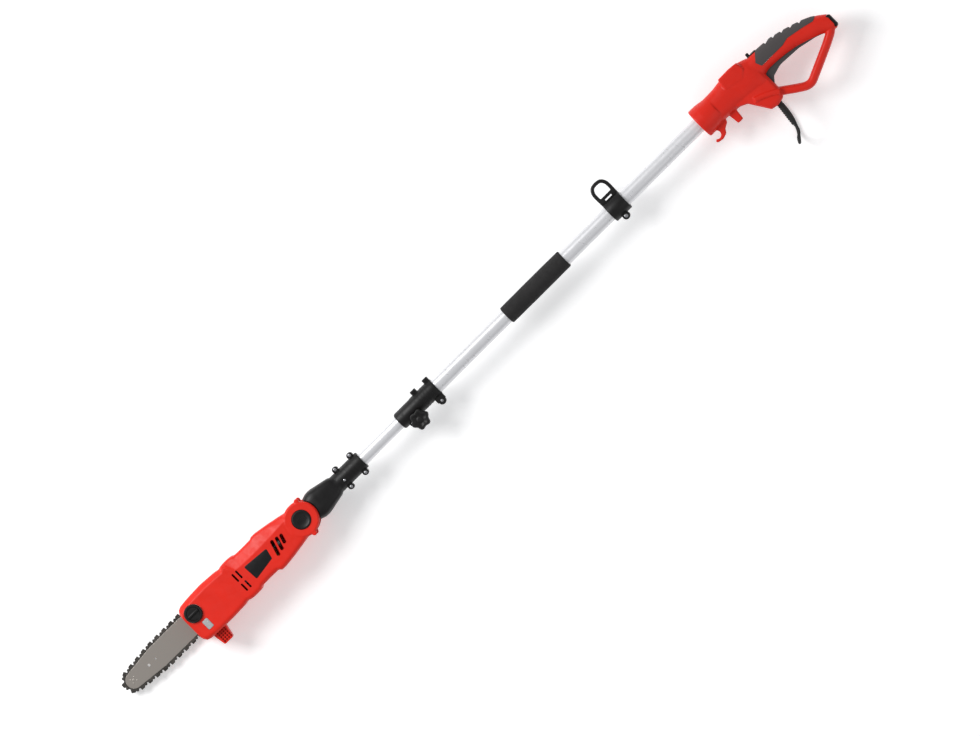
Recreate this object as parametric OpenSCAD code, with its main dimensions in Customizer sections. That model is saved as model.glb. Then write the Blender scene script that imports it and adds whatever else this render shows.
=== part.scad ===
// Corded telescoping pole saw, lying on its sprocket cover.
// X runs along the pole towards the handle, +Y is the top of the handle, Z is up.

/* [Pole] */
// Outer diameter of the inner tube
inner_tube_d = 28; // [26:0.5:29]
// Outer diameter of the outer tube
outer_tube_d = 32; // [31.5:0.5:36]
// Wall of both tubes
tube_wall = 1.5; // [1.2:0.1:1.5]
// Length of the inner tube
inner_tube_len = 883; // [860:1:960]
// Length of the outer tube
outer_tube_len = 845; // [800:1:1050]
// Inner tube that shows between neck and clamp
rest_gap = 104; // [101:1:120]
// Height of the pole's axis above the floor
axis_z = 54; // [54:1:58]

/* [Cutting head] */
// From the tilt pivot to the front of the head
head_len = 306; // [290:1:370]
// Height of the head at its front half
head_h = 93; // [90:1:96]
// Wall of the head shells
head_wall = 3; // [2.5:0.1:3]
// Radius of the pivot cheeks
pivot_r = 36; // [35:0.5:37]
// Guide bar beyond the head, to the tip of the chain
bar_reach = 182.6; // [150:1:260]
// Width of the guide bar
bar_w = 48; // [44:1:48]
// Thickness of the guide bar
bar_t = 4; // [3.5:0.1:4]
// Radius of the oil cap
oil_cap_r = 18.3; // [16:0.1:18.5]
// Outer radius of the motor
motor_r = 27; // [25:0.5:27.5]

/* [Neck and clamp] */
// From the tilt pivot to the end of the neck
neck_len = 167; // [160:1:200]
// Length of the telescope clamp
clamp_len = 102; // [100:1:125]
// Radius of the star knob
knob_r = 21; // [18:0.5:22]

/* [Grip and strap clip] */
// Length of the foam grip
foam_len = 161; // [100:1:190]
// Outer diameter of the foam grip
foam_d = 40; // [38:0.5:46]
// Bare tube between clamp and foam grip
foam_gap = 197; // [150:1:230]
// Bare tube between foam grip and strap clip
clip_gap = 126; // [60:1:150]
// Length of the strap clip along the pole
clip_w = 41; // [36:1:50]

/* [Handle] */
// Length of the tube's socket in the handle
socket_depth = 62; // [50:1:66]
// Length of the hand opening
loop_len = 152; // [150:1:185]
// Half the thickness of the handle
handle_half_t = 23; // [21:0.5:23]
// Wall of the handle shells
handle_wall = 3; // [2.5:0.1:3]

/* [Cord] */
// Diameter of the mains cord
cord_d = 6.2; // [5.8:0.1:6.2]

/* [Hidden] */
$fn = 48;
far = 3000;

// Stations along the pole, from the tilt pivot
inner_tube_x0 = neck_len - 70;
clamp_x0 = neck_len + rest_gap;
clamp_step = 50;
clamp_x1 = clamp_x0 + clamp_len;
outer_tube_x0 = clamp_x0 + clamp_step + 4;
outer_tube_x1 = outer_tube_x0 + outer_tube_len;
foam_x0 = clamp_x1 + foam_gap;
clip_x0 = foam_x0 + foam_len + clip_gap;
handle_x = outer_tube_x1 - socket_depth;
inner_r = inner_tube_d / 2;
outer_r = outer_tube_d / 2;
outer_bore_r = outer_r - tube_wall;

// Handle stations, from the front of its collar
collar_len = 26;
collar_r = 32.7;
loop_x0 = handle_x + 154;
loop_x1 = loop_x0 + loop_len;
handle_x1 = loop_x1 + 29;
handle_bottom = -106;

// Head stations, measured forwards from the tilt pivot as negative X
head_x0 = -head_len;
sprocket_x = head_x0 + 81;
motor_x = -128;
stud_x = head_x0 + 30;
head_top_z = axis_z + 34;
head_bottom_z = axis_z - 32;
bar_z = head_bottom_z - 2.5 - bar_t;
bar_mid_z = bar_z + bar_t / 2;
bar_y = 8;
chain_stand = 6.5;
nose_r = 17;
nose_x = head_x0 - bar_reach + nose_r + chain_stand;
tip_x = nose_x - nose_r - chain_stand;
sprocket_r = 15.5;
cap_x = head_x0 + 23.5;
cap_y = 18.5;
stop_y = -69;

// Top of the strap clip's ring
ring_top_y = 63.5;

// Gears
gear_teeth = 30;
pinion_teeth = 9;
gear_r = 25;
pinion_r = gear_r * pinion_teeth / gear_teeth;
gear_mesh_z = axis_z - pinion_r;

// Cord route, as offsets from the tip of the strain relief
relief_top = [handle_x + 141.5, -81, axis_z];
relief_tip = [handle_x + 134, -132, axis_z];
CORD_ROUTE = [
  [0, -0.2, 0], [-1.5, -10, 0], [-6, -18, -0.8], [-13.5, -24, -5], [-18, -30, -13],
  [-20, -33, -25], [-18, -30, -37.5], [-13.5, -24, -46], [-7, -14, -50.3],
  [-1, -1, -50.8], [4, 14, -50.8], [7, 32, -50.8], [8, 50, -50.8], [6, 72, -50.8],
  [0, 96, -50.5], [-10, 116, -48], [-23, 128, -43], [-34, 132, -40.7], [-43.8, 132, -40.5]
];
plug_z = 13.5;
plug_x1 = relief_tip[0] - 44;
plug_y = relief_tip[1] + 132;
plug_body_l = 42;
plug_pin_l = 19;
plug_pin_gap = 19;

// ---------- shapes shared by the pieces ----------

function unit(v) = v / norm(v);
function flat(c) = [c[0], c[1]];
function turned(v) = [-v[1], v[0]];
function wrap(a) = a > 180 ? a - 360 : a < -180 ? a + 360 : a;

// Points of one rounded corner at b, between its neighbours a and c
function corner(a, b, c, r) =
  r < 0.1 || unit(a - b) * unit(c - b) < -0.999 ? [b] :
  let (
    u = unit(a - b),
    v = unit(c - b),
    half = acos(max(-1, min(1, u * v))) / 2,
    mid = b + unit(u + v) * r / sin(half),
    from = b + u * r / tan(half) - mid,
    to = b + v * r / tan(half) - mid,
    start = atan2(from[1], from[0]),
    sweep = wrap(atan2(to[1], to[0]) - start),
    steps = max(2, ceil(abs(sweep) / 15))
  ) [for (i = [0:steps]) mid + r * [cos(start + sweep * i / steps), sin(start + sweep * i / steps)]];

// An outline whose corners are [x, y, radius], counter-clockwise
function rounded(corners) = let (n = len(corners)) [
  for (i = [0:n - 1])
    each corner(flat(corners[(i + n - 1) % n]), flat(corners[i]), flat(corners[(i + 1) % n]), corners[i][2])
];

// The same outline moved inwards by t
function inset(corners, t) = let (n = len(corners)) [
  for (i = [0:n - 1])
    let (
      here = flat(corners[i]),
      before = turned(unit(here - flat(corners[(i + n - 1) % n]))),
      after = turned(unit(flat(corners[(i + 1) % n]) - here)),
      moved = here + (before + after) * t / (1 + before * after)
    ) [moved[0], moved[1], max(0, corners[i][2] - t)]
];

// Puts a piece modelled from the tilt pivot into the tool's own frame
module place() {
  translate([-centre_x, -centre_y, 0]) children();
}

// Turns a piece's own Z along the pole, from station x
module along(x, y = 0, z = axis_z) {
  translate([x, y, z]) rotate([0, 90, 0]) children();
}

module half_space(upper) {
  translate([-far / 2, -far / 2, upper ? axis_z : axis_z - far]) cube([far, far, far]);
}

module split(upper) {
  intersection() {
    children();
    half_space(upper);
  }
}

module pipe(r_out, r_in, length) {
  difference() {
    cylinder(r = r_out, h = length);
    translate([0, 0, -1]) cylinder(r = r_in, h = length + 2);
  }
}

module slab(corners, z0, z1) {
  translate([0, 0, z0]) linear_extrude(z1 - z0) polygon(rounded(corners));
}

// A solid with stepped, softened edges at its top or bottom
module soft_slab(corners, z0, z1, upper) {
  if (upper) {
    slab(corners, z0, z1 - 4);
    slab(inset(corners, 1.2), z1 - 4, z1 - 1.5);
    slab(inset(corners, 3.4), z1 - 1.5, z1);
  } else {
    slab(corners, z0 + 4, z1);
    slab(inset(corners, 1.2), z0 + 1.5, z0 + 4);
    slab(inset(corners, 3.4), z0, z0 + 1.5);
  }
}

// Turns a piece over about the pole's axis, for what goes in from the far side
module from_far_side() {
  translate([0, 0, 2 * axis_z]) mirror([0, 0, 1]) children();
}

// Cap screw standing along Z, head up at z1
module screw(x, y, z0, z1, r = 2, head_r = 3.6) {
  translate([x, y, z0]) cylinder(r = r, h = z1 - z0 - 2.5);
  translate([x, y, z1 - 2.5]) cylinder(r = head_r, h = 2.5);
}

// Hole with room for that screw
module screw_hole(x, y, z0, z1, r = 2, head_r = 3.6) {
  translate([x, y, z0 - 1]) cylinder(r = r + 0.1, h = z1 - z0 + 2);
  translate([x, y, z1 - 2.5]) cylinder(r = head_r + 0.2, h = 40);
}

// Tube swept along points with a fixed up direction
function ring_at(points, i, r, sides) =
  let (
    n = len(points),
    ahead = unit(points[min(n - 1, i + 1)] - points[max(0, i - 1)]),
    side = unit(cross(ahead, [0.35, -0.25, 0.9])),
    up = cross(side, ahead)
  ) [for (k = [0:sides - 1]) points[i] + r * (side * cos(360 * k / sides) + up * sin(360 * k / sides))];

module swept(points, r, sides = 8) {
  n = len(points);
  rings = [for (i = [0:n - 1]) each ring_at(points, i, r, sides)];
  walls = [
    for (i = [0:n - 2], k = [0:sides - 1])
      let (a = i * sides + k, b = i * sides + (k + 1) % sides)
        each [[a, b, b + sides], [a, b + sides, a + sides]]
  ];
  cap_a = [[for (k = [0:sides - 1]) sides - 1 - k]];
  cap_b = [[for (k = [0:sides - 1]) (n - 1) * sides + k]];
  polyhedron(points = rings, faces = concat(cap_a, walls, cap_b), convexity = 6);
}

// Smooth curve through the points, with extra points between each pair
function blend_at(p, i, t) =
  let (
    n = len(p),
    a = p[max(0, i - 1)], b = p[i], c = p[i + 1], d = p[min(n - 1, i + 2)]
  ) 0.5 * (2 * b + (c - a) * t + (2 * a - 5 * b + 4 * c - d) * t * t + (3 * b - a - 3 * c + d) * t * t * t);
function smooth(p, steps) = concat(
  [for (i = [0:len(p) - 2], k = [0:steps - 1]) blend_at(p, i, k / steps)],
  [p[len(p) - 1]]
);

// ---------- cutting head ----------

head_top = head_h * 50 / 93;
head_low = -head_h * 43 / 93;
head_outline = [
  [-10, 32, 8], [-93, head_top - 4, 6], [-101, head_top - 7, 4], [-147, head_top - 7, 4],
  [-152, head_top - 2, 4], [-180, head_top - 2, 4], [-190, head_top - 5, 8],
  [head_x0 + 71, head_top, 30], [head_x0 + 10, head_top - 3, 9], [head_x0, head_top - 17, 10],
  [head_x0, head_low + 9, 5], [head_x0 + 10, head_low + 2, 6], [head_x0 + 71, head_low, 30],
  [-190, head_low + 4, 8], [-180, head_low, 4], [-152, head_low, 4],
  [-147, head_low + 4.5, 4], [-101, head_low + 4.5, 4], [-93, head_low - 1.5, 6], [-10, -33, 8]
];
stop_outline = [
  [head_x0 + 20, head_low + 6, 1], [head_x0 + 23, stop_y, 3], [head_x0 + 46, stop_y, 3],
  [head_x0 + 53, head_low + 6, 1]
];
head_bosses = [
  [head_x0 + 12, 39], [head_x0 + 17, -34], [sprocket_x + 20, 40], [sprocket_x + 20, -34], [-98, 37], [-98, -35]
];
bearing_z = head_bottom_z + head_wall;

module head_body(upper) {
  z0 = upper ? axis_z : head_bottom_z;
  z1 = upper ? head_top_z : axis_z;
  difference() {
    union() {
      soft_slab(head_outline, z0, z1, upper);
      translate([0, 0, z0]) cylinder(r = pivot_r, h = z1 - z0);
      slab(stop_outline, upper ? axis_z : axis_z - 18, upper ? axis_z + 18 : axis_z);
      for (a = [61, -90])
        rotate(a) translate([pivot_r, 0, upper ? axis_z + 24 : head_bottom_z]) cylinder(r = 5, h = 8);
    }
    slab(
      inset(head_outline, head_wall),
      upper ? axis_z - 1 : head_bottom_z + head_wall,
      upper ? head_top_z - head_wall : axis_z + 1
    );
    // room for the neck's tongue
    translate([0, 0, axis_z - 22]) cylinder(r = pivot_r + 1, h = 44);
  }
  // wall between motor room and pivot
  intersection() {
    difference() {
      translate([-52, -60, z0]) cube([14, 120, z1 - z0]);
      translate([0, 0, axis_z - far / 2]) cylinder(r = 35, h = far);
      along(-60) cylinder(r = 8, h = 40);
    }
    slab(inset(head_outline, head_wall), head_bottom_z + head_wall, head_top_z - head_wall);
  }
  for (p = head_bosses)
    intersection() {
      translate([p[0], p[1], z0]) cylinder(r = 5.5, h = z1 - z0);
      slab(inset(head_outline, head_wall / 2), z0, z1);
    }
}

module vent_cuts() {
  z = head_top_z - 5;
  for (x = [-173.7, -163.8])
    for (y = [[0, 20], [-25, -6.5]])
      translate([x - 2, y[0], z]) cube([4, y[1] - y[0], 8]);
  for (i = [0:2])
    translate([-75.7 + 12 * i, -3.5 + i * 1.1, z]) rotate(-17)
      translate([-3, -17.5 + 3 * i, 0]) cube([6, 35 - 6 * i, 8]);
}

module head_shell_near() {
  color("tomato") place() difference() {
    head_body(true);
    vent_cuts();
    translate([cap_x, cap_y, head_top_z - 8]) cylinder(r = oil_cap_r + 0.5, h = 20);
    translate([head_x0 + 23.2, head_low + 16.2, head_top_z - 5]) cube([13.6, 21.6, 10]);
    translate([0, 0, axis_z + 20]) cylinder(r = 19.8, h = 40);
    for (p = head_bosses) translate([p[0], p[1], axis_z - 1]) cylinder(r = 1.9, h = 20);
  }
}

module head_shell_far() {
  color("tomato") place() difference() {
    union() {
      head_body(false);
      // pad that the guide bar is clamped to
      translate([stud_x - 20, bar_y - 12, bar_z + bar_t])
        cube([46, 24, head_bottom_z + head_wall - bar_z - bar_t]);
      translate([sprocket_x, 0, bearing_z]) cylinder(r = 17, h = 8);
    }
    translate([sprocket_x, 0, bar_z]) cylinder(r = 9, h = 30);
    translate([sprocket_x, 0, bearing_z]) cylinder(r = 13, h = 20);
    translate([0, 0, head_bottom_z - 1]) cylinder(r = 4.2, h = 30);
    translate([0, 0, head_bottom_z - 1]) cylinder(r = 8.3, h = 5);
    for (i = [0, 1]) translate([stud_x + 20 * i, bar_y, bar_z]) cylinder(r = 4, h = 20);
    for (p = head_bosses) screw_hole_up(p[0], p[1], head_bottom_z + 4, axis_z + 12);
  }
}

module screw_hole_up(x, y, z0, z1) {
  translate([x, y, z0 - 1]) cylinder(r = 2.1, h = z1 - z0 + 2);
  translate([x, y, z0 - 40]) cylinder(r = 3.9, h = 40);
}

module head_screws() {
  color("silver") place() for (p = head_bosses) {
    translate([p[0], p[1], head_bottom_z + 4]) cylinder(r = 1.9, h = axis_z + 14 - head_bottom_z - 4);
    translate([p[0], p[1], head_bottom_z + 1.2]) cylinder(r = 3.6, h = 2.8);
  }
}

module label_plate() {
  color("dimgray") place() slab(
    [[-145, -21.5, 3], [-94.5, -14, 3], [-89, 8.5, 3], [-147, 13.5, 3]], head_top_z, head_top_z + 0.8
  );
}

module oil_tank() {
  z1 = head_top_z - head_wall - 0.2;
  tank = [
    [head_x0 + 27, 33, 4], [head_x0 + 5, 24, 4], [head_x0 + 5, -24, 4],
    [head_x0 + 52, -33, 4], [head_x0 + 52, 40, 4], [head_x0 + 27, 40, 4]
  ];
  color("ivory") place() difference() {
    slab(tank, axis_z + 2, z1);
    slab(inset(tank, 2), axis_z + 4, z1 - 2);
    translate([cap_x, cap_y, axis_z + 10]) cylinder(r = 12.6, h = 40);
    translate([head_bosses[0][0], head_bosses[0][1], axis_z - 10]) cylinder(r = 6, h = 80);
  }
}

module oil_window() {
  color("lightgray") place() slab(
    [[head_x0 + 23.4, head_low + 16.4, 2], [head_x0 + 36.6, head_low + 16.4, 2],
     [head_x0 + 36.6, head_low + 37.6, 2], [head_x0 + 23.4, head_low + 37.6, 2]],
    head_top_z - head_wall, head_top_z + 0.6
  );
}

module oil_cap() {
  color("black") place() {
    translate([cap_x, cap_y, head_top_z - head_wall]) cylinder(r = oil_cap_r, h = head_wall + 6);
    translate([cap_x, cap_y, head_top_z - 16]) pipe(12.2, 9.5, 16 - head_wall);
    translate([cap_x - 13, cap_y - 2, head_top_z + 6]) cube([26, 4, 2]);
  }
}

module oil_pump() {
  color("gray") place() {
    translate([sprocket_x - 15, -38, bearing_z]) cube([24, 12, 10]);
    translate([sprocket_x - 3, -26, bearing_z + 4]) rotate([-90, 0, 0]) cylinder(r = 3, h = 6);
  }
}

module sprocket_cover() {
  cover = [
    [sprocket_x + 34, head_top - 6, 14], [head_x0 + 71, head_top - 1, 20], [head_x0 + 10, head_top - 4, 9],
    [head_x0 + 1, head_top - 18, 8], [head_x0 + 1, head_low + 10, 5], [head_x0 + 10, head_low + 3, 6],
    [head_x0 + 71, head_low + 1, 20], [sprocket_x + 34, head_low + 6, 14]
  ];
  color("tomato") place() difference() {
    union() {
      difference() {
        soft_slab(cover, 0, head_bottom_z, false);
        slab(inset(cover, 2.6), 3, head_bottom_z + 1);
      }
      for (i = [0, 1]) translate([stud_x + 20 * i, bar_y, 0]) cylinder(r = 11.5, h = bar_z);
    }
    translate([head_x0 - 5, bar_y - bar_w / 2 - chain_stand - 2, 9])
      cube([20, bar_w + 2 * chain_stand + 4, 40]);
    for (i = [0, 1]) {
      translate([stud_x + 20 * i, bar_y, -1]) cylinder(r = 4.3, h = 40);
      translate([stud_x + 20 * i, bar_y, -1]) cylinder(r = 9, h = 7.5);
    }
    translate([stud_x - 14, bar_y - 18, -1]) cylinder(r = 4, h = 40);
  }
}

module bar_studs() {
  color("silver") place() for (i = [0, 1])
    translate([stud_x + 20 * i, bar_y, 2]) cylinder(r = 4, h = head_bottom_z + head_wall - 2);
}

module cover_nuts() {
  color("silver") place() for (i = [0, 1])
    translate([stud_x + 20 * i, bar_y, 1]) difference() {
      union() {
        translate([0, 0, 4.4]) cylinder(r = 8.4, h = 1);
        cylinder(r = 7.2, h = 4.5, $fn = 6);
      }
      translate([0, 0, -1]) cylinder(r = 4, h = 10);
    }
}

module tension_screw() {
  color("silver") place() {
    translate([stud_x - 14, bar_y - 18, 4]) cylinder(r = 3.6, h = bar_z - 4.5);
    translate([stud_x - 14, bar_y - 18, bar_z - 0.5]) cylinder(r = 2.8, h = bar_t + 0.5);
  }
}

// Outline of the guide bar, grown by t; the tail is open for the sprocket
function bar_outline(t) =
  let (half = bar_w / 2, tail = sprocket_x - 24)
  concat(
    [[tail + t, 15 + t, 6], [head_x0 + 14, half + t, 30], [nose_x + 66, half + t, 60]],
    [for (a = [96:12:264]) [nose_x + (nose_r + t) * cos(a), (nose_r + t) * sin(a), 0]],
    [[nose_x + 66, -half - t, 60], [head_x0 + 14, -half - t, 30], [tail + t, -15 - t, 6]]
  );

module guide_bar() {
  color("darkgray") place() translate([0, bar_y, 0]) difference() {
    slab(bar_outline(0), bar_z, bar_z + bar_t);
    // groove in the rim for the chain's drive links
    difference() {
      slab(bar_outline(1), bar_mid_z - 0.8, bar_mid_z + 0.8);
      slab(bar_outline(-5), bar_mid_z - 2, bar_mid_z + 2);
    }
    // slot for both studs
    translate([stud_x, 0, bar_z - 1]) cylinder(r = 4.3, h = bar_t + 2);
    translate([stud_x + 20, 0, bar_z - 1]) cylinder(r = 4.3, h = bar_t + 2);
    translate([stud_x, -4.3, bar_z - 1]) cube([20, 8.6, bar_t + 2]);
    translate([stud_x - 14, -18, bar_z - 1]) cylinder(r = 3, h = bar_t + 2);
    for (x = [18.5, 65.5]) translate([tip_x + x, 0, bar_z - 1]) cylinder(r = 3, h = bar_t + 2);
    // room for the sprocket in the nose
    translate([nose_x, 0, bar_mid_z - 1.1]) cylinder(r = 15, h = 2.2);
  }
}

// The chain's path is the bar's rim carried round the drive sprocket
chain_path =
  let (half = bar_w / 2 + 2.2, nose = nose_r + 2.2, back = sprocket_r + 3)
  concat(
    [for (a = [-80:16:80]) [sprocket_x + back * cos(a), back * sin(a) - bar_y]],
    [[head_x0 + 16, half], [nose_x + 66, half]],
    [for (a = [96:12:264]) [nose_x + nose * cos(a), nose * sin(a)]],
    [[nose_x + 66, -half], [head_x0 + 16, -half]]
  );
function leg(p, i) = norm(p[(i + 1) % len(p)] - p[i]);
function whole(p, i = 0) = i >= len(p) ? 0 : leg(p, i) + whole(p, i + 1);
function on_path(p, s, i = 0) =
  let (l = leg(p, i), a = p[i], b = p[(i + 1) % len(p)], d = b - a)
  s <= l || i >= len(p) - 1 ? [a[0] + d[0] * s / l, a[1] + d[1] * s / l, atan2(d[1], d[0])]
  : on_path(p, s - l, i + 1);
chain_len = whole(chain_path);
chain_pairs = floor(chain_len / 19.05);
chain_pitch = chain_len / chain_pairs;

module chain_place(i) {
  p = on_path(chain_path, i * chain_pitch);
  translate([p[0], p[1] + bar_y, bar_mid_z]) rotate(p[2]) children();
}

module chain_drive_links() {
  color("dimgray") place() for (i = [0:chain_pairs - 1])
    chain_place(i + 0.25) translate([0, 0, -0.65]) linear_extrude(1.3)
      polygon([
        [-7, 2.5], [-3, 3.6], [3, 3.6], [7, 2.5], [7, -2.2], [4, -2.2], [0, -0.8], [-4, -2.2], [-7, -2.2]
      ]);
}

// A cutter with its depth gauge on every fourth place of each side, and a tie strap elsewhere
function side_link(i, s) = i % 4 == 2 * s
  ? [[-7.5, 1.6], [7.5, 1.6], [7.5, -2], [5.5, -2.6], [3.4, -1.2], [0.5, -3.6], [-6.5, -4.2], [-7.5, -2]]
  : [[-7.5, 1.6], [7.5, 1.6], [7.5, -2], [0, -0.5], [-7.5, -2]];

// Where the foremost cutter ends
chain_low_x = min([
  for (i = [0:chain_pairs - 1], s = [0, 1])
    let (p = on_path(chain_path, (i + 0.75) * chain_pitch))
      for (q = side_link(i, s)) p[0] + q[0] * cos(p[2]) - q[1] * sin(p[2])
]);

// Middle of the tool's box
centre_x = (chain_low_x + handle_x1) / 2;
centre_y = (ring_top_y + handle_bottom) / 2;

module chain_side_links() {
  color("gray") place() for (i = [0:chain_pairs - 1])
    chain_place(i + 0.75) for (s = [0, 1])
      translate([0, 0, s == 0 ? 0.9 : -2.3]) linear_extrude(1.4) polygon(side_link(i, s));
}

module wheel(teeth, r_root, r_tip, thickness) {
  difference() {
    linear_extrude(thickness) polygon([
      for (i = [0:teeth - 1], k = [[0, 1], [0.25, 1], [0.42, 0], [0.83, 0]])
        let (a = 360 * (i + k[0]) / teeth, r = k[1] == 1 ? r_tip : r_root) [r * cos(a), r * sin(a)]
    ]);
    children();
  }
}

module nose_sprocket() {
  color("silver") place() translate([nose_x, bar_y, bar_mid_z - 0.7])
    wheel(10, 11.5, 14.2, 1.4) translate([0, 0, -1]) cylinder(r = 3, h = 4);
}

module drive_sprocket() {
  shaft_top = gear_mesh_z + 16;
  color("silver") place() translate([sprocket_x, 0, 0]) {
    translate([0, 0, bar_mid_z - 3]) wheel(6, 9, 13, 6) translate([0, 0, -1]) cylinder(r = 4.9, h = 9);
    translate([0, 0, bar_mid_z - 5]) cylinder(r = 5, h = shaft_top - bar_mid_z + 5);
  }
}

module drive_gear() {
  color("slategray") place() translate([sprocket_x, 0, 0]) difference() {
    union() {
      translate([0, 0, gear_mesh_z - 9]) cylinder(r = gear_r + 4, h = 7);
      for (i = [0:gear_teeth - 1])
        rotate(360 * (i + 0.5) / gear_teeth)
          translate([gear_r - 4, -0.8, gear_mesh_z - 3]) cube([7.5, 1.6, 3.9]);
    }
    translate([0, 0, 20]) cylinder(r = 5, h = 40);
  }
}

module shaft_bearings() {
  color("silver") place() translate([sprocket_x, 0, 0]) {
    translate([0, 0, bearing_z]) pipe(12.9, 5.05, 8);
    translate([0, 0, gear_mesh_z + 8]) pipe(11, 5.05, 7);
  }
}

pinion_x = sprocket_x + gear_r - 3.5;
fan_x = -171;

module motor_armature() {
  color("darkgray") place() {
    along(pinion_x - 1) cylinder(r = 4, h = -56 - pinion_x);
    along(motor_x - 20) pipe(motor_r - 10.5, 4, 42);
  }
}

module motor_pinion() {
  color("slategray") place() along(pinion_x) wheel_pinion();
}

module wheel_pinion() {
  difference() {
    linear_extrude(7) polygon([
      for (i = [0:pinion_teeth - 1], k = [[-0.14, 1], [0.14, 1], [0.22, 0], [0.78, 0]])
        let (a = 360 * (i + k[0]) / pinion_teeth, r = k[1] == 1 ? pinion_r + 1.2 : pinion_r - 1.5)
          [r * cos(a), r * sin(a)]
    ]);
    translate([0, 0, -1]) cylinder(r = 4, h = 9);
  }
}

module motor_fan() {
  color("black") place() {
    along(fan_x) pipe(24, 4, 2);
    for (i = [0:11])
      along(fan_x + 2) rotate(30 * i) translate([9, -0.8, 0]) cube([15, 1.6, 9]);
  }
}

module motor_commutator() {
  color("orange") place() along(-94) pipe(10.5, 4, 14);
}

module motor_stator() {
  color("gray") place() {
    along(motor_x - 20) pipe(motor_r, motor_r - 10, 42);
    // field coils at both ends
    for (x = [motor_x - 26, motor_x + 22]) along(x) pipe(motor_r - 3, motor_r - 9, 6);
  }
}

module brush_holders() {
  color("brown") place() for (s = [-1, 1])
    translate([-91, s > 0 ? 10.8 : -27, axis_z - 4]) cube([8, 16.2, 8]);
}

module motor_bearings() {
  color("silver") place() {
    along(-70) pipe(11, 4.05, 7);
    along(-192) pipe(11, 4.05, 7);
  }
}

// ---------- neck and tilt joint ----------

neck_fork_r = pivot_r + 2.2;
neck_barrel_r = 19.5;
tongue_r = 33;

module neck_body() {
  difference() {
    union() {
      difference() {
        along(0) rotate_extrude() polygon([
          [0, 16], [27, 16], [27, 27], [30.5, 38], [31, 46], [28, 66], [22, 90], [neck_barrel_r, 96],
          [neck_barrel_r, neck_len], [0, neck_len]
        ]);
        cylinder(r = neck_fork_r, h = 200);
      }
      translate([0, 0, axis_z - 21.5]) cylinder(r = tongue_r, h = 43);
      difference() {
        translate([0, -24, axis_z - 18]) cube([44, 48, 36]);
        cylinder(r = tongue_r - 2, h = 200);
      }
      for (x = [neck_len - 52, neck_len - 12], s = [-1, 1])
        translate([x, s * 21.5, axis_z - 11]) cylinder(r = 6.5, h = 22);
    }
    // tube socket, then the room for the lead
    along(inner_tube_x0) cylinder(r = inner_r, h = 200);
    along(34) cylinder(r = 10, h = 200);
    // tilt pocket
    translate([0, 0, axis_z + 5]) cylinder(r = 19.6, h = 60);
    translate([0, 0, axis_z - 60]) cylinder(r = 4.05, h = 120);
    translate([24, 0, 0]) along(0) cylinder(r = 4, h = 20);
  }
}

neck_screw_at = [[neck_len - 52, 23.5], [neck_len - 12, 23.5], [neck_len - 52, -23.5], [neck_len - 12, -23.5]];

module neck_shell_near() {
  color("dimgray") place() difference() {
    split(true) neck_body();
    for (p = neck_screw_at) screw_hole(p[0], p[1], axis_z - 8, axis_z + 9);
  }
}

module neck_shell_far() {
  color("dimgray") place() difference() {
    split(false) neck_body();
    for (p = neck_screw_at) translate([p[0], p[1], axis_z - 8.5]) cylinder(r = 2, h = 20);
  }
}

module neck_screws() {
  color("silver") place() for (p = neck_screw_at) screw(p[0], p[1], axis_z - 8, axis_z + 9);
}

module tilt_axle() {
  color("silver") place() {
    translate([0, 0, head_bottom_z + 0.5]) cylinder(r = 8, h = 3.5);
    translate([0, 0, head_bottom_z + 1]) cylinder(r = 4, h = axis_z + 12 - head_bottom_z);
  }
}

module tilt_button() {
  color("black") place() translate([0, 0, axis_z + 18]) {
    translate([0, 0, 6]) cylinder(r = 19.3, h = head_top_z + 2.5 - axis_z - 24);
    pipe(12, 9.5, 6);
  }
}

module tilt_spring() {
  turns = 5;
  z0 = axis_z + 5.2;
  rise = 18.4;
  points = [
    for (i = [0:turns * 12])
      [7.5 * cos(30 * i), 7.5 * sin(30 * i), z0 + 0.8 + (rise - 1.6) * i / (turns * 12)]
  ];
  color("silver") place() swept(points, 0.7, 6);
}

// ---------- pole ----------

module inner_tube() {
  color("silver") place() along(inner_tube_x0) pipe(inner_r, inner_r - tube_wall, inner_tube_len);
}

module tube_guide() {
  x1 = inner_tube_x0 + inner_tube_len;
  color("black") place() difference() {
    union() {
      along(x1) cylinder(r = outer_bore_r - 0.3, h = 8);
      along(x1 - 24) cylinder(r = inner_r - tube_wall, h = 26);
    }
    along(x1 - 30) cylinder(r = inner_r - tube_wall - 1.8, h = 60);
  }
}

module lower_lead() {
  x1 = inner_tube_x0 + inner_tube_len - 40;
  color("black") place() along(-36) translate([0, 0, 78]) cylinder(r = 3, h = x1 - 42);
}

module coiled_lead() {
  x0 = outer_tube_x0 + 120;
  color("black") place() along(x0) pipe(9, 5, outer_tube_x1 - x0 + 14);
}

module outer_tube() {
  color("silver") place() along(outer_tube_x0) pipe(outer_r, outer_bore_r, outer_tube_len);
}

clamp_small_r = inner_r + 4.7;
clamp_large_r = outer_r + 3.5;
clamp_bolt_at = [clamp_x0 + 35, -25];
clamp_screw_at = [[clamp_x1 - 11, -29], [clamp_x1 - 7, 22.5], [clamp_x0 + 62, 22.5]];

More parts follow.
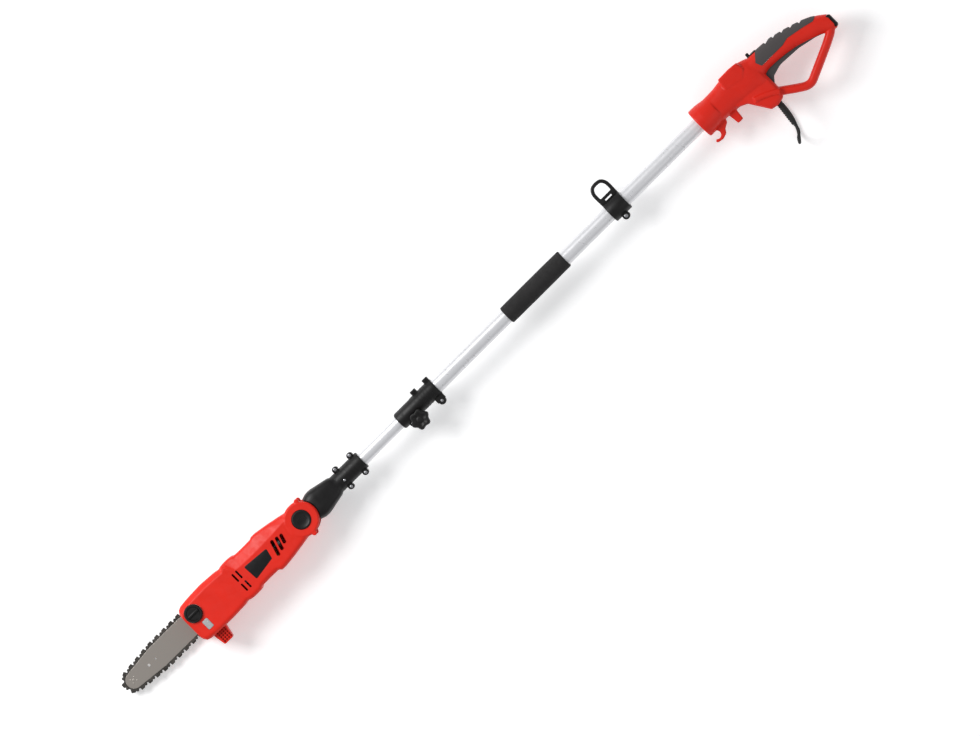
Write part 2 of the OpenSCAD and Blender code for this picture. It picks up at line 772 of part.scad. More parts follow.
module clamp_body() {
  difference() {
    union() {
      along(clamp_x0) rotate_extrude() polygon([
        [0, 0], [clamp_small_r - 3, 0], [clamp_small_r, 4], [clamp_small_r, 44],
        [clamp_large_r, clamp_step], [clamp_large_r, clamp_len], [0, clamp_len]
      ]);
      translate([clamp_x0 + 22, -34, axis_z - 15]) cube([26, 24, 30]);
      translate([clamp_x1 - 32, -37, axis_z - 9]) cube([32, 26, 18]);
      translate([clamp_x1 - 13, 10, axis_z - 9]) cube([12, 16.5, 18]);
      translate([clamp_x0 + 56, 10, axis_z - 9]) cube([12, 16.5, 18]);
    }
    along(clamp_x0 - 1) cylinder(r = inner_r + 0.35, h = clamp_len);
    along(clamp_x0 + 8) cylinder(r = inner_r + 2.2, h = 38);
    along(outer_tube_x0) cylinder(r = outer_r, h = clamp_len);
    along(clamp_x0 + 46) cylinder(r = inner_r + 1, h = 30);
    translate([clamp_bolt_at[0], clamp_bolt_at[1], 0]) cylinder(r = 3.1, h = 200);
    translate([clamp_bolt_at[0], clamp_bolt_at[1], axis_z - 50]) cylinder(r = 6.2, h = 40, $fn = 6);
    for (p = clamp_screw_at) screw_hole(p[0], p[1], axis_z - 7, axis_z + 7.5);
    // saw cut that lets the jaws close on the inner tube
    translate([clamp_x0 - 1, -50, axis_z - 0.6]) cube([49, 50 - inner_r + 2, 1.2]);
  }
}

module clamp_shell_near() {
  color("dimgray") place() split(true) clamp_body();
}

module clamp_shell_far() {
  color("dimgray") place() split(false) clamp_body();
}

module clamp_collet() {
  color("ivory") place() along(clamp_x0 + 9) difference() {
    pipe(inner_r + 2.1, inner_r + 0.1, 36);
    translate([-1, 0, -1]) cube([2, 40, 60]);
  }
}

module clamp_screws() {
  color("silver") place() for (p = clamp_screw_at) screw(p[0], p[1], axis_z - 7, axis_z + 7.5);
}

module clamp_bolt() {
  color("silver") place() translate([clamp_bolt_at[0], clamp_bolt_at[1], 0]) {
    translate([0, 0, axis_z - 14.5]) cylinder(r = 5.9, h = 4.4, $fn = 6);
    translate([0, 0, axis_z - 14]) cylinder(r = 3, h = 42);
  }
}

module clamp_knob() {
  color("dimgray") place() translate([clamp_bolt_at[0], clamp_bolt_at[1], axis_z + 15.4]) difference() {
    union() {
      cylinder(r = knob_r * 0.62, h = 6);
      translate([0, 0, 4]) {
        cylinder(r = knob_r * 0.8, h = 15);
        for (i = [0:5]) rotate(60 * i) translate([knob_r * 0.74, 0, 0]) cylinder(r = knob_r * 0.26, h = 15);
      }
    }
    translate([0, 0, -1]) cylinder(r = 3.15, h = 30);
    translate([0, 0, 10]) cylinder(r = 6, h = 30, $fn = 6);
  }
}

module knob_nut() {
  color("gold") place() translate([clamp_bolt_at[0], clamp_bolt_at[1], axis_z + 25.4]) difference() {
    cylinder(r = 5.9, h = 5, $fn = 6);
    translate([0, 0, -1]) cylinder(r = 3.05, h = 10);
  }
}

module foam_grip() {
  color("black") place() along(foam_x0) difference() {
    rotate_extrude() polygon([
      [outer_r, 0], [foam_d / 2 - 2, 0], [foam_d / 2, 2], [foam_d / 2, foam_len - 2],
      [foam_d / 2 - 2, foam_len], [outer_r, foam_len]
    ]);
  }
}

clip_mid = clip_x0 + clip_w / 2;
clip_r = outer_r + 6.5;

module strap_clip() {
  z0 = axis_z - 6;
  ring_half = 21;
  color("black") place() difference() {
    union() {
      along(clip_x0) cylinder(r = clip_r, h = clip_w);
      slab(
        [[clip_mid - ring_half, 10, 1], [clip_mid + ring_half, 10, 1], [clip_mid + ring_half, 44, 4],
         [clip_mid + 14, ring_top_y, 10], [clip_mid - 14, ring_top_y, 10], [clip_mid - ring_half, 44, 4]],
        z0, z0 + 12
      );
      translate([clip_mid, -25.5, axis_z - 12]) cylinder(r = 8, h = 24);
      translate([clip_mid - 8, -25.5, axis_z - 12]) cube([16, 12, 24]);
    }
    along(clip_x0 - 1) cylinder(r = outer_r, h = clip_w + 2);
    slab(
      [[clip_mid - 14, 32, 2], [clip_mid + 14, 32, 2], [clip_mid + 14, 47, 8],
       [clip_mid + 8, 57.4, 6], [clip_mid - 8, 57.4, 6], [clip_mid - 14, 47, 8]],
      0, 100
    );
    translate([clip_mid - 8.5, 22.6, 0]) cube([17, 3, 100]);
    // split under the tube
    translate([clip_x0 - 1, -60, axis_z - 1.2]) cube([clip_w + 2, 60 - outer_r + 3, 2.4]);
    translate([clip_mid, -26.5, 0]) cylinder(r = 2.6, h = 200);
    translate([clip_mid, -26.5, axis_z + 8]) cylinder(r = 4.9, h = 200);
    translate([clip_mid, -26.5, 0]) cylinder(r = 4.9, h = axis_z - 8, $fn = 6);
  }
}

module strap_clip_screw() {
  color("silver") place() translate([clip_mid, -26.5, axis_z]) {
    translate([0, 0, -12]) cylinder(r = 2.5, h = 22);
    translate([0, 0, 8.1]) cylinder(r = 4.6, h = 3);
    translate([0, 0, -11.5]) cylinder(r = 4.6, h = 3.4, $fn = 6);
  }
}

// ---------- handle ----------

lx = loop_x1 - loop_x0;
handle_outline = [
  [handle_x + 20, 29.5, 0], [handle_x + 20, -29.5, 0], [handle_x + 76, -31, 8], [handle_x + 96, -38, 6],
  [handle_x + 123, -80, 5], [handle_x + 138, -83, 5], [handle_x + 158, -80, 8], [loop_x0 + 35, -99, 6],
  [loop_x0 + 52, handle_bottom, 9], [loop_x0 + 66, handle_bottom, 9], [loop_x1 + 17, -60, 12],
  [handle_x1, -52, 7], [handle_x1, -24, 4], [handle_x1 - 17, -7, 14], [loop_x1 - 16, 2, 30],
  [loop_x0 + 91, 16, 30], [loop_x0 + 64, 23.5, 12], [loop_x0 + 5, 26, 12], [loop_x0 - 8, 28, 6],
  [loop_x0 - 16, 36.5, 8], [loop_x0 - 66, 36.5, 8], [loop_x0 - 76, 30, 6]
];
// The hand's opening; its top edge is the slot that the trigger comes out of
opening_outline = [
  [loop_x0, -18, 2], [loop_x0, -48, 5], [loop_x0 + 44, -81, 10], [loop_x0 + 60, -87.5, 8],
  [loop_x0 + 76, -83, 8], [loop_x1 - 6, -54, 8], [loop_x1 - 4, -40, 3], [loop_x0 + 66, -21, 30]
];
handle_screw_at = [
  [handle_x + 70, 23], [handle_x + 70, -23], [loop_x0 - 22, 28], [loop_x0 - 14, -66], [loop_x0 + 36, -90],
  [loop_x0 + 92, -81], [loop_x1 + 14, -42], [loop_x0 + 32, 1]
];
trigger_pivot = [loop_x1 + 8, -33];

module handle_body(upper) {
  z0 = upper ? axis_z : axis_z - handle_half_t;
  z1 = upper ? axis_z + handle_half_t : axis_z;
  cavity0 = upper ? axis_z - 1 : axis_z - handle_half_t + handle_wall;
  cavity1 = upper ? axis_z + handle_half_t - handle_wall : axis_z + 1;
  difference() {
    union() {
      difference() {
        soft_slab(handle_outline, z0, z1, upper);
        intersection() {
          difference() {
            slab(inset(handle_outline, handle_wall), cavity0, cavity1);
            slab(inset(opening_outline, -handle_wall), 0, 200);
          }
          translate([handle_x + socket_depth + 4, -200, 0]) cube([400, 400, 200]);
        }
      }
      split(upper) along(handle_x) rotate_extrude() polygon([
        [0, 0], [collar_r - 2, 0], [collar_r, 2], [collar_r, collar_len - 2], [collar_r - 2, collar_len],
        [0, collar_len]
      ]);
      for (p = handle_screw_at) translate([p[0], p[1], z0]) cylinder(r = 5, h = z1 - z0);
      // cord hook and post under the collar
      split(upper) translate([handle_x, 0, axis_z - 7]) linear_extrude(14) difference() {
        polygon([
          [4, -29], [46, -29], [42, -36], [30, -42], [26, -50], [14, -54], [2, -52], [-2, -47], [3, -45]
        ]);
        translate([10, -39]) circle(r = 8.5);
      }
      split(upper) translate([handle_x, 0, axis_z - 7]) linear_extrude(14)
        polygon([[54, -29], [73, -29], [70, -53], [57, -53]]);
    }
    slab(opening_outline, 0, 200);
    along(handle_x - 1) cylinder(r = outer_r, h = socket_depth + 1);
    along(handle_x + socket_depth - 2) cylinder(r = 12, h = 20);
    // slot for the trigger
    translate([loop_x0 + 4, -50, axis_z - 9]) cube([lx - 4.5, 42, 18]);
    // window of the lock-off button, in the top face
    translate([loop_x0 + 3, 12, axis_z - 9]) cube([34, 40, 18]);
    // seat of the strain relief
    translate(relief_top) rotate([90, 0, 0]) translate([0, 0, -8]) cylinder(r = 7.2, h = 20);
    // seat of the soft pad
    translate([0, 0, axis_z - 100]) linear_extrude(200) polygon(pad_outline(0.2));
    // seat of the end cap
    translate([handle_x1 - 6.2, -54, 0]) cube([20, 30.2, 200]);
    for (p = handle_screw_at) from_far_side()
      if (upper) translate([p[0], p[1], axis_z - 13]) cylinder(r = 1.9, h = 20);
      else screw_hole(p[0], p[1], axis_z - 12, axis_z + handle_half_t - 4, 1.9, 3.6);
  }
}

// The soft pad wraps the top of the grip
function pad_outline(grow) = [
  [loop_x0 + 42, 30], [loop_x0 + 42, 14 - grow], [loop_x0 + 78, 12 - grow], [loop_x0 + 105, 2 - grow],
  [loop_x1 + 4, -9 - grow], [loop_x1 + 10 + grow, 10], [loop_x1 - 16, 30]
];

module handle_shell_near() {
  color("tomato") place() handle_body(true);
}

module handle_shell_far() {
  color("tomato") place() handle_body(false);
}

module handle_screws() {
  color("silver") place() from_far_side() for (p = handle_screw_at)
    screw(p[0], p[1], axis_z - 12, axis_z + handle_half_t - 4, 1.9, 3.6);
}

module grip_pad() {
  color("dimgray") place() intersection() {
    union() {
      soft_slab(handle_outline, axis_z, axis_z + handle_half_t, true);
      soft_slab(handle_outline, axis_z - handle_half_t, axis_z, false);
    }
    translate([0, 0, axis_z - 100]) linear_extrude(200) polygon(pad_outline(0));
  }
}

module handle_end_cap() {
  color("black") place() translate([handle_x1 - 6, -53.8, axis_z - handle_half_t + 3])
    cube([6, 29.6, 2 * handle_half_t - 6]);
}

module switch_module() {
  color("gray") place() translate([loop_x0 + 44, -7, axis_z - 8]) cube([30, 14, 16]);
}

module trigger() {
  p = trigger_pivot;
  color("dimgray") place() difference() {
    slab(
      [[loop_x0 + 6, -24, 2], [loop_x0 + 6, -44, 4], [loop_x0 + 16, -37, 8], [loop_x0 + 44, -32.5, 20],
       [loop_x0 + 92, -36, 20], [loop_x1 - 16, -42, 4], [loop_x1 - 6, -42, 3], [loop_x1 + 12, -38, 3],
       [loop_x1 + 12, -29, 3], [loop_x0 + 66, -16, 20], [loop_x0 + 20, -14, 4], [loop_x0 + 6, -16, 3]],
      axis_z - 8, axis_z + 8
    );
    translate([p[0], p[1], 0]) cylinder(r = 2.05, h = 200);
  }
}

module trigger_pin() {
  color("silver") place() translate([trigger_pivot[0], trigger_pivot[1], axis_z - 16]) cylinder(r = 2, h = 32);
}

module lock_off_button() {
  color("black") place() {
    translate([loop_x0 + 5, 14, axis_z - 8]) cube([22, 13.5, 16]);
    translate([loop_x0 + 6, 27, axis_z - 6]) cube([7, 7, 12]);
  }
}

// ---------- cord ----------

module strain_relief() {
  d = relief_tip - relief_top;
  turn = atan2(d[0], -d[1]);
  color("black") place() translate(relief_top) rotate([90, 0, 0]) rotate([0, turn, 0]) {
    translate([0, 0, -4]) cylinder(r = 6.5, h = 6);
    cylinder(r1 = 6.5, r2 = 5, h = norm(d));
  }
}

cord_points = [for (p = CORD_ROUTE) relief_tip + p];

module mains_cord() {
  color("black") place() swept(smooth(cord_points, 2), cord_d / 2, 10);
}

module mains_plug() {
  color("black") place() {
    along(plug_x1 - 18, plug_y, plug_z) cylinder(r1 = 6, r2 = 4.5, h = 18);
    translate([plug_x1 - 18 - plug_body_l, plug_y, 0]) intersection() {
      translate([0, -18.5, plug_z - 13]) cube([plug_body_l, 37, 26]);
      along(0, 0, plug_z) cylinder(r = 19, h = plug_body_l);
    }
  }
}

module plug_pins() {
  color("gold") place() for (s = [-1, 1])
    along(plug_x1 - 18 - plug_body_l - plug_pin_l, plug_y + s * plug_pin_gap / 2, plug_z)
      cylinder(r = 2.4, h = plug_pin_l);
}

head_shell_near();
head_shell_far();
head_screws();
label_plate();
oil_tank();
oil_window();
oil_cap();
oil_pump();
sprocket_cover();
bar_studs();
cover_nuts();
tension_screw();
guide_bar();
chain_drive_links();
chain_side_links();
nose_sprocket();
drive_sprocket();
drive_gear();
shaft_bearings();
motor_armature();
motor_pinion();
motor_fan();
motor_commutator();
motor_stator();
brush_holders();
motor_bearings();
neck_shell_near();
neck_shell_far();
neck_screws();
tilt_axle();
tilt_button();
tilt_spring();
inner_tube();
tube_guide();
lower_lead();
clamp_shell_near();
clamp_shell_far();
clamp_collet();
clamp_screws();
clamp_bolt();
clamp_knob();
knob_nut();
outer_tube();
coiled_lead();
foam_grip();
strap_clip();
strap_clip_screw();
handle_shell_near();
handle_shell_far();
handle_screws();
grip_pad();
handle_end_cap();
switch_module();
trigger();
trigger_pin();
lock_off_button();
strain_relief();
mains_cord();
mains_plug();
plug_pins();
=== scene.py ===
"""Looks of a corded telescoping pole saw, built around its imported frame.

Lengths are in millimetres from the tilt pivot (x, y) and the floor (z), and `at` turns them into metres.
X runs along the pole to the handle, +Y is the top of the handle and +Z is the oil cap's side.
"""

import logging
import math
from collections.abc import Iterable
from dataclasses import dataclass, field
from enum import Enum

import bpy
from mathutils import Matrix, Vector


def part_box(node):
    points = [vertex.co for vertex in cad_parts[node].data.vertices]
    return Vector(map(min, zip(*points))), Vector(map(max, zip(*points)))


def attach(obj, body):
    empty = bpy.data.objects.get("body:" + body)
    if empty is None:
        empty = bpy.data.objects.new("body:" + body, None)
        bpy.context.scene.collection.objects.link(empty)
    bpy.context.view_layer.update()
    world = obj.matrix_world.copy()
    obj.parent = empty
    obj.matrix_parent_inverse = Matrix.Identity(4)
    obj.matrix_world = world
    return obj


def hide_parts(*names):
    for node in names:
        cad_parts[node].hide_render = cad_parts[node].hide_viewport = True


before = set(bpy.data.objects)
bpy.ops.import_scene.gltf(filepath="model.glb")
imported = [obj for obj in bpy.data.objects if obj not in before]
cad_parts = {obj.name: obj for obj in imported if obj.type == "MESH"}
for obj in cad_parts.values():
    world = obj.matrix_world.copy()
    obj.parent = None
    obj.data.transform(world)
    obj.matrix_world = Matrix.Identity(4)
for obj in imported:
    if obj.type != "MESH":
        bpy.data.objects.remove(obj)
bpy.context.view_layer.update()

LOG = logging.getLogger("pole_saw")
MM = 0.001
TURN = 2 * math.pi

Section = list[Vector]
Corner = tuple[float, float, float]
Spot = tuple[float, float]


class Half(Enum):
    """Which side of the parting plane a shell lies on."""

    NEAR = 1
    FAR = -1


# ---------------------------------------------------------------- places


def middle(node: str) -> Vector:
    """Middle of a CAD node's box, in metres."""
    low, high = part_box(node)
    return (low + high) / 2


PIVOT = middle("tilt_axle")
AXIS_Z = middle("inner_tube").z / MM


def at(x: float, y: float, z: float) -> Vector:
    """Turns millimetres from the tilt pivot and the floor into the frame's metres."""
    return Vector((PIVOT.x + x * MM, PIVOT.y + y * MM, z * MM))


def low_x(node: str) -> float:
    """Where a node starts along the pole, in millimetres from the pivot."""
    return (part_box(node)[0].x - PIVOT.x) / MM


def high_x(node: str) -> float:
    """Where a node ends along the pole, in millimetres from the pivot."""
    return (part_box(node)[1].x - PIVOT.x) / MM


# ---------------------------------------------------------------- finishes


@dataclass(frozen=True)
class Finish:
    """A procedural finish.

    Args:
        name: material's name.
        colour: base colour, linear.
        rough: mean roughness.
        metal: metallic value.
        grain: noise cells per metre of the fine texture.
        bump: strength of the fine texture.
        mottle: how far the colour wanders, 0 to 1.
        stretch: scale of the fine texture along x, y and z.
        scuff: share of faint rubbed marks, 0 to 1.
        pores: True for a cellular texture, as in foam.
        coat: clear coat weight.
        clear: transmission weight.
        depth: height of the fine texture in metres.
        gloss: specular level.
    """

    name: str
    colour: tuple[float, float, float]
    rough: float = 0.5
    metal: float = 0.0
    grain: float = 900.0
    bump: float = 0.15
    mottle: float = 0.12
    stretch: tuple[float, float, float] = (1.0, 1.0, 1.0)
    scuff: float = 0.25
    pores: bool = False
    coat: float = 0.0
    clear: float = 0.0
    depth: float = 0.0003
    gloss: float = 0.5

    def build(self) -> bpy.types.Material:
        """Makes the material once and returns it.

        Returns:
            The material.
        """
        known = bpy.data.materials.get(self.name)
        if known:
            return known
        material = bpy.data.materials.new(self.name)
        material.use_nodes = True
        nodes, links = material.node_tree.nodes, material.node_tree.links
        shader = nodes["Principled BSDF"]
        shader.inputs["Metallic"].default_value = self.metal
        shader.inputs["Specular IOR Level"].default_value = self.gloss
        shader.inputs["Coat Weight"].default_value = self.coat
        shader.inputs["Coat Roughness"].default_value = 0.15
        shader.inputs["Transmission Weight"].default_value = self.clear
        place = nodes.new("ShaderNodeTexCoord")
        turn = nodes.new("ShaderNodeMapping")
        turn.inputs["Scale"].default_value = self.stretch
        links.new(place.outputs["Object"], turn.inputs["Vector"])
        fine = nodes.new("ShaderNodeTexVoronoi" if self.pores else "ShaderNodeTexNoise")
        fine.inputs["Scale"].default_value = self.grain
        links.new(turn.outputs["Vector"], fine.inputs["Vector"])
        height = fine.outputs["Distance" if self.pores else "Fac"]
        bump = nodes.new("ShaderNodeBump")
        bump.inputs["Strength"].default_value = self.bump
        bump.inputs["Distance"].default_value = self.depth
        links.new(height, bump.inputs["Height"])
        links.new(bump.outputs["Normal"], shader.inputs["Normal"])
        wander = nodes.new("ShaderNodeTexNoise")
        wander.inputs["Scale"].default_value = 22.0
        wander.inputs["Detail"].default_value = 5.0
        links.new(place.outputs["Object"], wander.inputs["Vector"])
        tint = nodes.new("ShaderNodeValToRGB")
        tint.color_ramp.elements[0].position = 0.3
        tint.color_ramp.elements[1].position = 0.75
        tint.color_ramp.elements[0].color = (*(c * (1 - self.mottle) for c in self.colour), 1)
        tint.color_ramp.elements[1].color = (*(min(1, c * (1 + self.mottle)) for c in self.colour), 1)
        links.new(wander.outputs["Fac"], tint.inputs["Fac"])
        speck = nodes.new("ShaderNodeMix")
        speck.data_type = "RGBA"
        speck.blend_type = "MULTIPLY"
        speck.inputs["Factor"].default_value = 0.35 if self.pores else 0.18
        links.new(tint.outputs["Color"], speck.inputs["A"])
        links.new(fine.outputs["Distance" if self.pores else "Fac"], speck.inputs["B"])
        links.new(speck.outputs["Result"], shader.inputs["Base Color"])
        marks = nodes.new("ShaderNodeTexNoise")
        marks.inputs["Scale"].default_value = 60.0
        marks.inputs["Detail"].default_value = 8.0
        marks.inputs["Distortion"].default_value = 1.5
        links.new(place.outputs["Object"], marks.inputs["Vector"])
        spread = nodes.new("ShaderNodeMapRange")
        spread.inputs["From Min"].default_value = 0.35
        spread.inputs["From Max"].default_value = 0.7
        spread.inputs["To Min"].default_value = max(0.03, self.rough - 0.22 * self.scuff)
        spread.inputs["To Max"].default_value = min(1.0, self.rough + 0.45 * self.scuff)
        links.new(marks.outputs["Fac"], spread.inputs["Value"])
        links.new(spread.outputs["Result"], shader.inputs["Roughness"])
        return material


RED = Finish("red_nylon", (0.78, 0.018, 0.006), rough=0.42, grain=1400, bump=0.1, mottle=0.06, gloss=0.3)
BLACK = Finish("black_nylon", (0.006, 0.0055, 0.0055), rough=0.42, grain=1600, bump=0.2, mottle=0.1, gloss=0.3)
TRIGGER_GREY = Finish("trigger_nylon", (0.055, 0.052, 0.052), rough=0.42, grain=1600, bump=0.2, gloss=0.4)
RUBBER = Finish("soft_rubber", (0.026, 0.023, 0.023), rough=0.7, grain=2200, bump=0.35, mottle=0.15, gloss=0.3)
FOAM = Finish(
    "cell_foam", (0.021, 0.02, 0.02), rough=0.75, grain=1300, bump=0.6, pores=True, depth=0.0005, gloss=0.3
)
LABEL = Finish("blank_label", (0.005, 0.005, 0.0055), rough=0.35, bump=0.05, gloss=0.3)
TANK = Finish("tank_plastic", (0.75, 0.72, 0.64), rough=0.5, clear=0.25)
WINDOW = Finish("clear_window", (0.6, 0.61, 0.62), rough=0.2, clear=0.3, bump=0.03, mottle=0.03)
TUBE = Finish(
    "anodised_tube", (0.86, 0.86, 0.88), rough=0.3, metal=0.4, grain=1400, bump=0.03,
    mottle=0.03, stretch=(0.01, 1.0, 1.0), scuff=0.12,
)
BAR_STEEL = Finish(
    "bar_steel", (0.26, 0.242, 0.21), rough=0.55, metal=0.1, grain=900, bump=0.12,
    mottle=0.12, stretch=(0.03, 1.0, 1.0), scuff=0.3,
)
CHAIN_STEEL = Finish("chain_steel", (0.014, 0.013, 0.012), rough=0.45, metal=0.6, mottle=0.4, scuff=0.6)
CHROME_EDGE = Finish("cutter_plate", (0.07, 0.065, 0.058), rough=0.38, metal=0.6, mottle=0.35, scuff=0.6)
ZINC = Finish("zinc_screw", (0.5, 0.5, 0.52), rough=0.35, metal=1.0, mottle=0.12, scuff=0.4)
DARK_SCREW = Finish("dark_screw", (0.02, 0.019, 0.019), rough=0.42, metal=0.5, mottle=0.2, scuff=0.4)
GEAR = Finish("gear_steel", (0.3, 0.3, 0.31), rough=0.38, metal=1.0, mottle=0.15, scuff=0.5)
LAMINATION = Finish(
    "lamination", (0.2, 0.2, 0.22), rough=0.5, metal=0.8, grain=1500, bump=0.5, stretch=(1.0, 0.02, 0.02),
)
COPPER = Finish("copper", (0.72, 0.3, 0.12), rough=0.35, metal=1.0, mottle=0.2, scuff=0.4)
BRASS = Finish("brass", (0.7, 0.47, 0.16), rough=0.34, metal=1.0, mottle=0.12, scuff=0.4)
GREY = Finish("grey_nylon", (0.2, 0.2, 0.21), rough=0.5, bump=0.2)
CABLE = Finish("cable_rubber", (0.007, 0.007, 0.0075), rough=0.5, grain=1900, bump=0.2, mottle=0.12, gloss=0.35)
NICKEL = Finish("nickel_pin", (0.75, 0.74, 0.72), rough=0.2, metal=1.0, mottle=0.05)

CAD_FINISHES: dict[Finish, str] = {
    TANK: "oil_tank",
    GREY: "oil_pump switch_module clamp_collet tube_guide motor_fan",
    GEAR: "nose_sprocket drive_sprocket drive_gear shaft_bearings motor_pinion motor_bearings",
    LAMINATION: "motor_armature motor_stator",
    COPPER: "motor_commutator",
    BRASS: "brush_holders knob_nut",
    ZINC: "bar_studs tension_screw tilt_axle tilt_spring clamp_bolt trigger_pin",
    CABLE: "lower_lead coiled_lead",
}


# ---------------------------------------------------------------- workbench


def deselect() -> None:
    """Leaves nothing selected."""
    for item in bpy.context.selected_objects:
        item.select_set(False)


def take(piece: bpy.types.Object) -> bpy.types.Object:
    """Selects one piece alone and makes it active.

    Args:
        piece: the piece.

    Returns:
        The same piece.
    """
    deselect()
    piece.select_set(True)
    bpy.context.view_layer.objects.active = piece
    return piece


def settle(piece: bpy.types.Object) -> None:
    """Puts a new piece's place, turn and size into its mesh."""
    take(piece)
    bpy.ops.object.transform_apply(location=True, rotation=True, scale=True)


def modify(piece: bpy.types.Object, kind: str, **settings: object) -> bpy.types.Object:
    """Adds a modifier with its settings and applies it.

    Args:
        piece: the piece to change.
        kind: the modifier's type.
        settings: its values by name.

    Returns:
        The same piece.
    """
    take(piece)
    modifier = piece.modifiers.new(kind.lower(), kind)
    for name, value in settings.items():
        setattr(modifier, name, value)
    bpy.ops.object.modifier_apply(modifier=modifier.name)
    return piece


def smooth(piece: bpy.types.Object, angle: float) -> None:
    """Smooths the shading wherever faces meet below an angle in degrees."""
    take(piece)
    bpy.ops.object.shade_smooth_by_angle(angle=math.radians(angle))


def tidy(piece: bpy.types.Object, angle: float = 35.0) -> bpy.types.Object:
    """Merges doubles, turns the faces outwards and smooths the shading below an angle in degrees.

    Args:
        piece: the piece to clean.
        angle: faces that meet below it are smoothed.

    Returns:
        The same piece.
    """
    take(piece)
    bpy.ops.object.mode_set(mode="EDIT")
    bpy.ops.mesh.select_all(action="SELECT")
    bpy.ops.mesh.remove_doubles(threshold=0.00001)
    bpy.ops.mesh.normals_make_consistent(inside=False)
    bpy.ops.object.mode_set(mode="OBJECT")
    bpy.ops.object.shade_smooth_by_angle(angle=math.radians(angle))
    return piece


def loft(name: str, sections: list[Section], closed: bool = False) -> bpy.types.Object:
    """Extrudes a filled loop through a row of sections.

    Args:
        name: the piece's name.
        sections: loops with the same number of points.
        closed: True joins the last section to the first, as in a ring.

    Returns:
        The closed piece, faces outwards.
    """
    count = len(sections[0])
    deselect()
    bpy.ops.mesh.primitive_circle_add(vertices=count, radius=1, fill_type="NGON")
    piece = bpy.context.object
    piece.name = name
    for vertex, place in zip(piece.data.vertices, sections[0]):
        vertex.co = place
    last = sections[0]
    for section in sections[1:]:
        goal = {tuple(round(c, 7) for c in old): new for old, new in zip(last, section)}
        bpy.ops.object.mode_set(mode="EDIT")
        bpy.ops.mesh.extrude_region_move()
        bpy.ops.object.mode_set(mode="OBJECT")
        for vertex in piece.data.vertices:
            if vertex.select:
                key = tuple(round(c, 7) for c in vertex.co)
                if key not in goal:
                    key = min(goal, key=lambda k: (Vector(k) - vertex.co).length)
                vertex.co = goal[key]
        last = [Vector(tuple(v)) for v in section]
    piece.data.update()
    if closed:
        ends = [p for p in piece.data.polygons if p.loop_total == count and count > 4]
        for polygon in piece.data.polygons:
            polygon.select = polygon in ends
        bpy.ops.object.mode_set(mode="EDIT")
        bpy.ops.mesh.select_mode(type="FACE")
        bpy.ops.mesh.delete(type="ONLY_FACE")
        bpy.ops.object.mode_set(mode="OBJECT")
    return tidy(piece)


def loop_x(
    x: float, y: float, z: float, half_y: float, half_z: float, power: float = 2.0, count: int = 40
) -> Section:
    """A round or squarish loop across the pole.

    Args:
        x, y, z: the loop's middle.
        half_y, half_z: half its height and thickness.
        power: 2 is an ellipse, and more is squarer.
        count: number of points.

    Returns:
        The loop's points in metres.
    """
    points = []
    for i in range(count):
        a = TURN * (i + 0.5) / count
        c, s = math.cos(a), math.sin(a)
        points.append(at(
            x,
            y + half_y * math.copysign(abs(c) ** (2 / power), c),
            z + half_z * math.copysign(abs(s) ** (2 / power), s),
        ))
    return points


def loop_z(x: float, y: float, z: float, radius: float, count: int = 40) -> Section:
    """A circle that lies flat at height z."""
    return [
        at(x + radius * math.cos(TURN * i / count), y + radius * math.sin(TURN * i / count), z)
        for i in range(count)
    ]


def creased(x: float, top: float, bottom: float, z0: float, z1: float, crease: float, drop: float) -> Section:
    """A soft-cornered loop across the pole whose near face slopes down beyond a crease.

    Args:
        x: station.
        top, bottom: its extent along Y.
        z0, z1: its far and near faces.
        crease: where along Y the near face breaks.
        drop: how far the face has sunk at the top edge.

    Returns:
        The loop's points in metres.
    """
    width = top - bottom
    r = min(9.0, width * 0.25)
    corners = [
        (bottom, z0, r), (top, z0, r), (top, z1 - drop - 5, min(9.0, r + 1)), (min(crease, top - 6), z1, 4.0),
        (bottom, z1, r),
    ]
    return [at(x, y, z) for y, z in rounded(corners, fixed=8)]


def lathe_x(name: str, profile: list[Spot], count: int = 48) -> bpy.types.Object:
    """A closed round piece along the pole from (station, radius) pairs."""
    return loft(name, [loop_x(x, 0, AXIS_Z, r, r, 2, count) for x, r in profile])


def lathe_z(name: str, x: float, y: float, profile: list[Spot], count: int = 48) -> bpy.types.Object:
    """A closed round piece standing up from (height, radius) pairs."""
    return loft(name, [loop_z(x, y, z, r, count) for z, r in profile])


def drill(x: float, y: float, z0: float, z1: float, radius: float, count: int) -> bpy.types.Object:
    """A straight round cutter from z0 to z1."""
    return lathe_z("drill", x, y, [(z0, radius), (z1, radius)], count)


def bore(x0: float, x1: float, radius: float) -> bpy.types.Object:
    """A straight round cutter along the pole."""
    return lathe_x("bore", [(x0, radius), (x1, radius)])


def oblong(x0: float, y0: float, x1: float, y1: float, radius: float) -> list[Corner]:
    """Corners of a rectangle whose corners have one radius."""
    return [(x0, y0, radius), (x1, y0, radius), (x1, y1, radius), (x0, y1, radius)]


